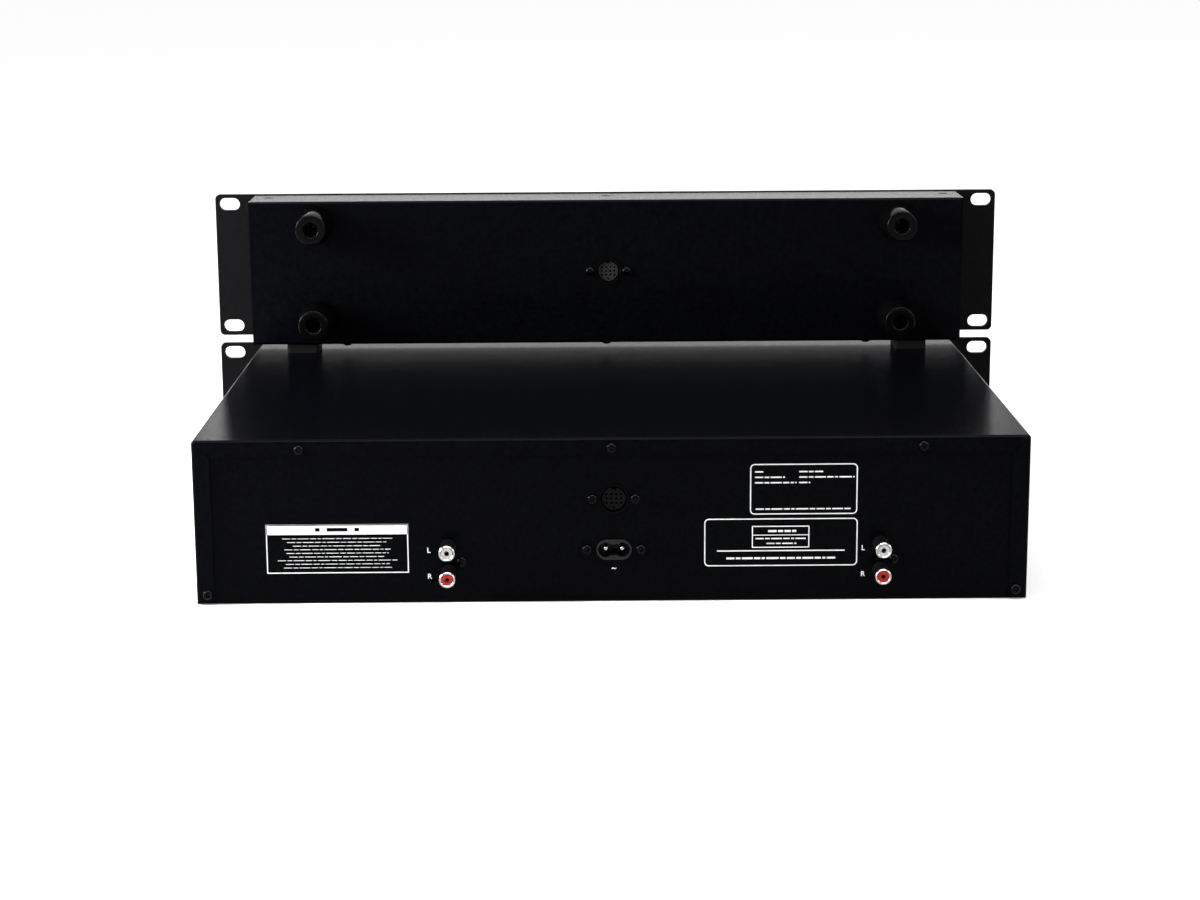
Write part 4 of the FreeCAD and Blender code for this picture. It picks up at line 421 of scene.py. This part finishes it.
def set_screws(name, body, material, groups, replaced):
    """One piece of many screws; each is driven to its own turn of the recess."""
    joined = bmesh.new()
    screws = [(screw, facing, place) for screw, facing, places in groups for place in places]
    for number, (screw, facing, place) in enumerate(screws, 1):
        twist = Matrix.Rotation(math.radians(37 * number), 4, "Z")
        merge_in(joined, screw, Matrix.Translation(place) @ TOWARDS[facing] @ twist)
    piece = as_object(name, joined, material, body, smooth=35)
    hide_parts(replaced)


def either_side(x, y, z, reach):
    """Two places, `reach` to each side of a socket's axis."""
    return [(x - reach, y, z), (x + reach, y, z)]


PAN_SCREW = pan_head_screw()
FLAT_SCREW = flat_head_screw()
LOW_ROW = 5.9                           # z of the main unit's lowest screws
SIDE_ROWS = [PANEL_BACK + y for y in (60, 215)]

rear_lips = [(x, MAIN_REAR, 82.6) for x in (-160.6, 0, 160.6)] + [(x, MAIN_REAR, LOW_ROW) for x in (-210, 210)]
rear_wall = either_side(SOCKET_X, MAIN_WALL, MAIN_SOCKET_Z, 11.1)
rear_wall += either_side(SOCKET_X, MAIN_WALL, INLET_Z, 14)
rear_wall += [(x, MAIN_WALL, 22.3) for x in (77.9, -146.4)]
set_screws("main_unit_cross_screws", "main_unit", FINISHES["plated_screws"], [
    (PAN_SCREW, "rear", rear_lips + rear_wall),
    (PAN_SCREW, "right", [(216, y, LOW_ROW) for y in SIDE_ROWS]),
    (PAN_SCREW, "left", [(-216, y, LOW_ROW) for y in SIDE_ROWS])], "main_unit_screws")
set_screws("control_unit_flat_screws", "control_unit", BLACKENED, [
    (FLAT_SCREW, "up", [(x, PANEL_BACK + 14, CONTROL_TOP) for x in (-206.6, 0, 206.6)]),
], "control_unit_screws")
set_screws("control_unit_cross_screws", "control_unit", FINISHES["plated_screws"], [
    (PAN_SCREW, "down", [(x, PANEL_BACK + 27, CONTROL_BASE) for x in (-159.2, 0, 159.2)]),
    (PAN_SCREW, "rear", either_side(SOCKET_X, CONTROL_REAR, CONTROL_SOCKET_Z, 11.1)),
    (PAN_SCREW, "rear", [(x, CONTROL_REAR + 6, z) for x, z in FOOT_PLACES])], "control_unit_screws")


# ---------------------------------------------------------------- feet

def arc(side, radius, x, z, angles):
    """Points of an arc about (x, z): 0 degrees is up, and 90 is towards `side`, which is 1 or -1."""
    return [(x + side * radius * math.sin(math.radians(a)), z + radius * math.cos(math.radians(a)))
            for a in angles]


def case_feet():
    """Feet 23 mm tall: a tapered barrel with a rounded rim, and a recess with six ribs for its screw."""
    rim = arc(1, 0.9, 8.2, 22.1, range(84, -1, -14))
    mouth = arc(-1, 0.7, 5.1, 22.3, range(0, 91, 15))
    foot = lathe([(0, 0.02), (11.5, 0.02), (11.6, 0.3)] + rim + mouth + [(4.4, 6), (0, 6)], steps=72)
    for turn in range(0, 360, 60):
        turn_about("Z", foot, block(foot, (3.5, -0.45, 5.9), (4.6, 0.45, 20.8)), turn)
    joined = bmesh.new()
    for x, z in FOOT_PLACES:
        merge_in(joined, foot, Matrix.Translation((x, CONTROL_REAR, z)) @ TOWARDS["rear"])
    foot.free()
    piece = as_object("case_feet_mouldings", joined, FINISHES["foot_plastic"], "control_unit",
                      smooth=30)
    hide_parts("case_feet")


case_feet()


# ---------------------------------------------------------------- phono contacts

def phono_contacts():
    """A rolled brass contact a little way down each phono socket's hole."""
    tube = lathe([(0.95, -6), (1.33, -6), (1.33, -1.2), (1.2, -1.0), (1.05, -1.0), (0.95, -1.2), (0.95, -6)],
                 steps=24)
    joined = bmesh.new()
    for x, z in PHONO_AXES:
        merge_in(joined, tube, Matrix.Translation((x, PHONO_FACE, z)) @ TOWARDS["rear"])
    tube.free()
    as_object("phono_contacts", joined, BRASS, "main_unit", smooth=40)


phono_contacts()


# ---------------------------------------------------------------- printing on the rear wall

def bar(shape, x0, z0, x1, z1):
    """A printed bar on an X-Z face."""
    block(shape, (min(x0, x1), 0, min(z0, z1)), (max(x0, x1), INK, max(z0, z1)))


def rounded_frame(shape, x0, z0, x1, z1, radius, line):
    """A printed outline with rounded corners."""
    plate = bmesh.new()
    bar(plate, x0, z0, x1, z1)
    upright = [e for e in plate.edges if abs(e.verts[0].co.y - e.verts[1].co.y) > INK / 2]
    bmesh.ops.bevel(plate, geom=upright, offset=radius, segments=6, affect="EDGES", profile=0.5, material=-1)
    faces = [f for f in plate.faces if abs(f.normal.y) > 0.9]
    bmesh.ops.inset_region(plate, faces=faces, thickness=line, use_even_offset=True)
    middle = [f for f in plate.faces if abs(f.normal.y) > 0.9 and len(f.verts) > 4]
    rims = [edge for face in middle for edge in face.edges]
    bmesh.ops.delete(plate, geom=middle, context="FACES_ONLY")
    bmesh.ops.bridge_loops(plate, edges=rims)
    bmesh.ops.recalc_face_normals(plate, faces=plate.faces)
    merge_in(shape, plate, Matrix.Identity(4))
    plate.free()


def letter(shape, text, x, z, height, facing):
    """A printed character, centred on a place of an X-Z face."""
    capital_share = 0.72                # height of a capital at size 1
    curve = bpy.data.curves.new("letter", "FONT")
    curve.body = text
    curve.align_x = "CENTER"
    curve.align_y = "CENTER"
    curve.size = height / capital_share
    curve.extrude = INK / 2
    curve.offset = 0.02 * height
    holder = put_in_scene("letter", curve)
    bpy.context.view_layer.update()
    mesh = bpy.data.meshes.new_from_object(holder)
    turn = Euler((math.radians(90), 0, math.radians(180 if facing == "rear" else 0))).to_matrix().to_4x4()
    mesh.transform(Matrix.Translation((x, INK / 2, z)) @ turn)
    shape.from_mesh(mesh)
    bpy.data.objects.remove(holder)
    bpy.data.curves.remove(curve)
    bpy.data.meshes.remove(mesh)


def ruled(shape, x0, x1, z, line, dashes=(4.2, 2.4, 5.6, 3.2, 1.6, 6.4, 2.8)):
    """A plain row of dashes across a plate, from x0 down to x1, with no lettering."""
    gap, shortest = 0.75, 0.6
    step = 0
    while x0 - x1 > shortest:
        end = max(x1, x0 - dashes[step % len(dashes)])
        bar(shape, x0, z - line / 2, end, z + line / 2)
        x0 = end - gap
        step += 1


def rear_print():
    """White print on the main unit's rear wall: channel letters and three plates of plain lines."""
    shape = bmesh.new()
    for x, z, text in ((95.0, 28.3, "L"), (94.8, 14.3, "R"), (-130.4, 28.0, "L"), (-130.4, 14.0, "R")):
        letter(shape, text, x, z, 2.7, "rear")
    letter(shape, "~", SOCKET_X, 18.2, 3.0, "rear")

    # The plate on the left: a solid header with three dark gaps, and nine centred rows.
    rounded_frame(shape, 179.1, 16.5, 105.5, 42.6, 0.4, 0.55)
    bar(shape, 179.2, 37.2, 105.4, 38.9)
    bar(shape, 179.2, 40.8, 105.4, 42.7)
    for x0, x1 in ((179.2, 153.6), (151.2, 147.6), (136.8, 133.2), (130.8, 105.4)):
        bar(shape, x0, 38.9, x1, 40.8)
    for row, half in enumerate((28.5, 26.0, 23.0, 27.5, 26.5, 25.0, 31.0, 27.0, 28.0)):
        ruled(shape, 142.3 + half, 142.3 - half, 35.1 - 1.95 * row, 0.3)

    # The upper plate on the right: three rows in two columns, and one row along its foot.
    rounded_frame(shape, -71.5, 46.3, -127.0, 73.2, 2.4, 0.55)
    for row, (first_end, second_end) in enumerate(((-79.2, -109.1), (-89.4, -125.4), (-95.4, -102.5))):
        ruled(shape, -74.0, first_end, 69.0 - 2.9 * row, 0.7)
        ruled(shape, -96.8, second_end, 69.0 - 2.9 * row, 0.7)
    ruled(shape, -74.5, -124.0, 49.2, 0.7)

    # The lower plate on the right: a box in two parts, a solid line and one row.
    rounded_frame(shape, -47.9, 18.7, -127.4, 44.2, 2.4, 0.55)
    rounded_frame(shape, -72.6, 28.5, -102.4, 40.2, 0.4, 0.5)
    bar(shape, -73.0, 35.1, -102.0, 35.5)
    bar(shape, -54.6, 26.6, -120.8, 27.2)
    ruled(shape, -81.0, -95.5, 37.4, 1.1, (4.4, 2.6, 3.2))
    ruled(shape, -74.5, -100.5, 33.4, 0.65)
    ruled(shape, -80.2, -95.7, 30.8, 0.65)
    ruled(shape, -59.4, -116.0, 22.9, 1.0)
    bmesh.ops.translate(shape, vec=(0, MAIN_WALL, 0), verts=shape.verts)
    as_object("rear_wall_print", shape, WHITE_INK, "main_unit")


rear_print()


# ---------------------------------------------------------------- printing on the fronts

def panel_print():
    """Pale marks on the control panel: each pitch fader's scale, with a plus and a minus at its ends."""
    shape = bmesh.new()
    for deck in DECKS:
        fader = deck + FADER_X
        for step in range(-8, 9):
            z = FADER_Z + step * 2.8125
            length = 4.5 if step % 4 == 0 else 2.6
            bar(shape, fader - 9.0, z - 0.15, fader - 9.0 - length, z + 0.15)
        for side, text in ((1, "+"), (-1, "-")):
            letter(shape, text, fader + 8.0, FADER_Z + side * 30, 2.6, "front")
    bmesh.ops.translate(shape, vec=(0, PANEL_FACE - INK, CONTROL_BASE), verts=shape.verts)
    as_object("control_panel_print", shape, LIGHT_INK, "control_unit")


def arrowhead(shape, x, size, direction):
    """A printed arrowhead pointing along +X or -X, as long as it is wide."""
    tip, half = direction * size / 2, size / 2
    corners = [(x - tip, 0, -half), (x - tip, 0, half), (x + tip, 0, 0)]
    face = shape.faces.new([shape.verts.new(corner) for corner in corners])
    out = bmesh.ops.extrude_face_region(shape, geom=[face])["geom"]
    moved = [item for item in out if isinstance(item, bmesh.types.BMVert)]
    bmesh.ops.translate(shape, vec=(0, INK, 0), verts=moved)
    bmesh.ops.recalc_face_normals(shape, faces=shape.faces)


# For each key: its place from the deck and the control unit's underside, then the arrowheads of its mark
# (place, size, direction) and the bars across them (two sides, half height).
KEY_MARKS = {
    "open": ((40, 24 - CONTROL_BASE), [(0.6, 2.8, 1)], [(-1.8, -1.3, 1.7)]),
    "play": ((-54, 20), [(-2.6, 4.6, 1)], [(1.65, 2.75, 2.3), (3.85, 4.95, 2.3)]),
    "cue": ((-86, 20), [], [(-4.5, 4.5, 0.5)]),
    "skip_forward": ((-24, 26.5), [(-1.6, 2.8, 1), (1.2, 2.8, 1)], [(2.8, 3.3, 1.4)]),
    "skip_back": ((-24, 14.5), [(1.6, 2.8, -1), (-1.2, 2.8, -1)], [(-3.3, -2.8, 1.4)]),
    "loop_in": ((-91, 40), [(0.6, 2.8, 1)], [(-3.0, -2.5, 1.5)]),
    "loop_out": ((-67, 40), [(-0.6, 2.8, 1)], [(2.5, 3.0, 1.5)]),
}


def key_mark(side, deck, name):
    """A pale mark on the face of a key; the open button's mark is turned to point up."""
    (key_x, key_z), arrowheads, bars = KEY_MARKS[name]
    shape = bmesh.new()
    for x, size, direction in arrowheads:
        arrowhead(shape, x, size, direction)
    for x0, x1, half in bars:
        bar(shape, x0, -half, x1, half)
    if name == "open":
        turn_about("Y", shape, shape.verts, -90)
    bmesh.ops.translate(shape, vec=(deck + key_x, KEY_FACE - INK, CONTROL_BASE + key_z), verts=shape.verts)
    as_object(f"{side}_{name}_mark", shape, WHITE_INK, f"{side}_{name}_button")


panel_print()
for side, deck in zip(("left", "right"), DECKS):
    for name in KEY_MARKS:
        key_mark(side, deck, name)


# ---------------------------------------------------------------- studio

IMAGE_WIDTH = 1200                      # pixels
FOCAL_LENGTH = 2369.4                   # pixels
AXIS_HEIGHT = 50                        # pixels from the frame's middle up to the optical axis
SENSOR_WIDTH = 36.0                     # millimetres


def camera_axes(yaw, pitch, roll):
    """The camera's right, up and backward directions; yaw turns from -Y, pitch looks down."""
    forward = Vector((math.sin(yaw) * math.cos(pitch), -math.cos(yaw) * math.cos(pitch), -math.sin(pitch)))
    level = forward.cross(Vector((0, 0, 1))).normalized()
    upright = level.cross(forward)
    right = math.cos(roll) * level + math.sin(roll) * upright
    up = -math.sin(roll) * level + math.cos(roll) * upright
    return right, up, -forward


def add_camera(place, yaw, pitch, roll):
    """A camera at a place in millimetres, turned by angles in degrees."""
    data = bpy.data.cameras.new("camera")
    data.sensor_width = SENSOR_WIDTH
    data.lens = FOCAL_LENGTH / IMAGE_WIDTH * SENSOR_WIDTH
    data.shift_y = -AXIS_HEIGHT / IMAGE_WIDTH
    data.clip_end = 50
    camera = put_in_scene("camera", data)
    axes = camera_axes(math.radians(yaw), math.radians(pitch), math.radians(roll))
    turn = Matrix(axes).transposed().to_4x4()
    camera.matrix_world = Matrix.Translation(Vector(place) * MM) @ turn
    bpy.context.scene.camera = camera


def add_lamp(name, place, target, size, power):
    """A soft rectangular lamp aimed at a point."""
    data = bpy.data.lights.new(name, "AREA")
    data.shape = "RECTANGLE"
    data.size, data.size_y = size
    data.energy = power
    lamp = put_in_scene(name, data)
    lamp.location = place
    lamp.rotation_euler = (Vector(target) - Vector(place)).to_track_quat("-Z", "Y").to_euler()
    lamp.visible_camera = False
    return lamp


def add_ceiling(strength, spread_angle):
    """Even light from above, as from a wide diffusing ceiling."""
    data = bpy.data.lights.new("ceiling", "SUN")
    data.energy = strength
    data.angle = math.radians(spread_angle)
    lamp = put_in_scene("ceiling", data)
    lamp.rotation_euler = (math.radians(-8), 0, 0)


def background_rays(tree):
    """1 for the rays that see the background: those of the camera, and those that metal and glass send out."""
    light = add(tree, "ShaderNodeLightPath").outputs
    seen = add(tree, "ShaderNodeMath", links={0: light["Is Camera Ray"], 1: light["Is Glossy Ray"]},
               operation="MAXIMUM").outputs[0]
    return add(tree, "ShaderNodeMath", links={0: seen, 1: light["Is Transmission Ray"]},
               operation="MAXIMUM").outputs[0]


def add_floor():
    """A pale paper floor that reaches far past the view and keeps the shadow."""
    shape = bmesh.new()
    bmesh.ops.create_grid(shape, x_segments=1, y_segments=1, size=30)
    mesh = to_mesh("floor", shape)
    floor = put_in_scene("floor", mesh)
    material = bpy.data.materials.new("white_paper_floor")
    tree = empty_tree(material)
    seen = add(tree, "ShaderNodeMath", {1: 0.2}, {0: background_rays(tree)}, operation="MULTIPLY").outputs[0]
    paper = add(tree, "ShaderNodeBsdfDiffuse", {"Color": colour("#f2f2f2")})
    glow = add(tree, "ShaderNodeEmission", {"Color": colour("#ffffff")}, {"Strength": seen})
    both = add(tree, "ShaderNodeAddShader", links={0: paper.outputs[0], 1: glow.outputs[0]})
    add(tree, "ShaderNodeOutputMaterial", links={"Surface": both.outputs[0]})
    mesh.materials.append(material)


def add_world():
    """Plain grey surroundings that the camera, metal and glass see as white."""
    world = bpy.data.worlds.new("studio")
    bpy.context.scene.world = world
    tree = empty_tree(world)
    level = spread(tree, background_rays(tree), 0.4, 1.0, 0.0, 1.0)
    background = add(tree, "ShaderNodeBackground", {"Color": colour("#ffffff")}, {"Strength": level})
    add(tree, "ShaderNodeOutputWorld", links={"Surface": background.outputs[0]})


# Name, place, target and size in metres, and power in watts.
LAMPS = (
    ("left_softbox", (1.5, 1.3, 1.4), (0, 0, 0.08), (0.5, 0.6), 5.5),
    ("right_softbox", (-1.6, 1.2, 1.3), (0, 0, 0.08), (0.5, 0.6), 5),
    ("left_side", (1.2, 0.25, 0.45), (0.15, -0.1, 0.13), (0.4, 0.4), 50),
    ("right_side", (-1.3, 0.22, 0.55), (-0.15, -0.1, 0.13), (0.5, 0.4), 7),
    ("back_strip", (0.0, -1.9, 0.58), (0, -0.12, 0.18), (1.1, 0.2), 3.2),
)
# Highlight cards: they show only in the gloss of screws, feet and metal.
CARDS = (
    ("left_card", (1.35, 1.5, 0.9), (0, 0, 0.1), (0.8, 0.8), 50),
    ("right_card", (-1.5, 1.4, 1.0), (0, 0, 0.1), (0.8, 0.8), 30),
    ("top_card", (0.0, 0.55, 1.5), (0, 0, 0.1), (1.6, 1.0), 60),
)

add_camera((12.5, 1323.1, 357.3), yaw=-0.327, pitch=11.887, roll=-0.34)
add_world()
add_floor()
add_ceiling(strength=1.5, spread_angle=60)
for lamp in LAMPS:
    add_lamp(*lamp)
for card in CARDS:
    add_lamp(*card).visible_diffuse = False

bpy.context.scene.view_settings.view_transform = "Standard"
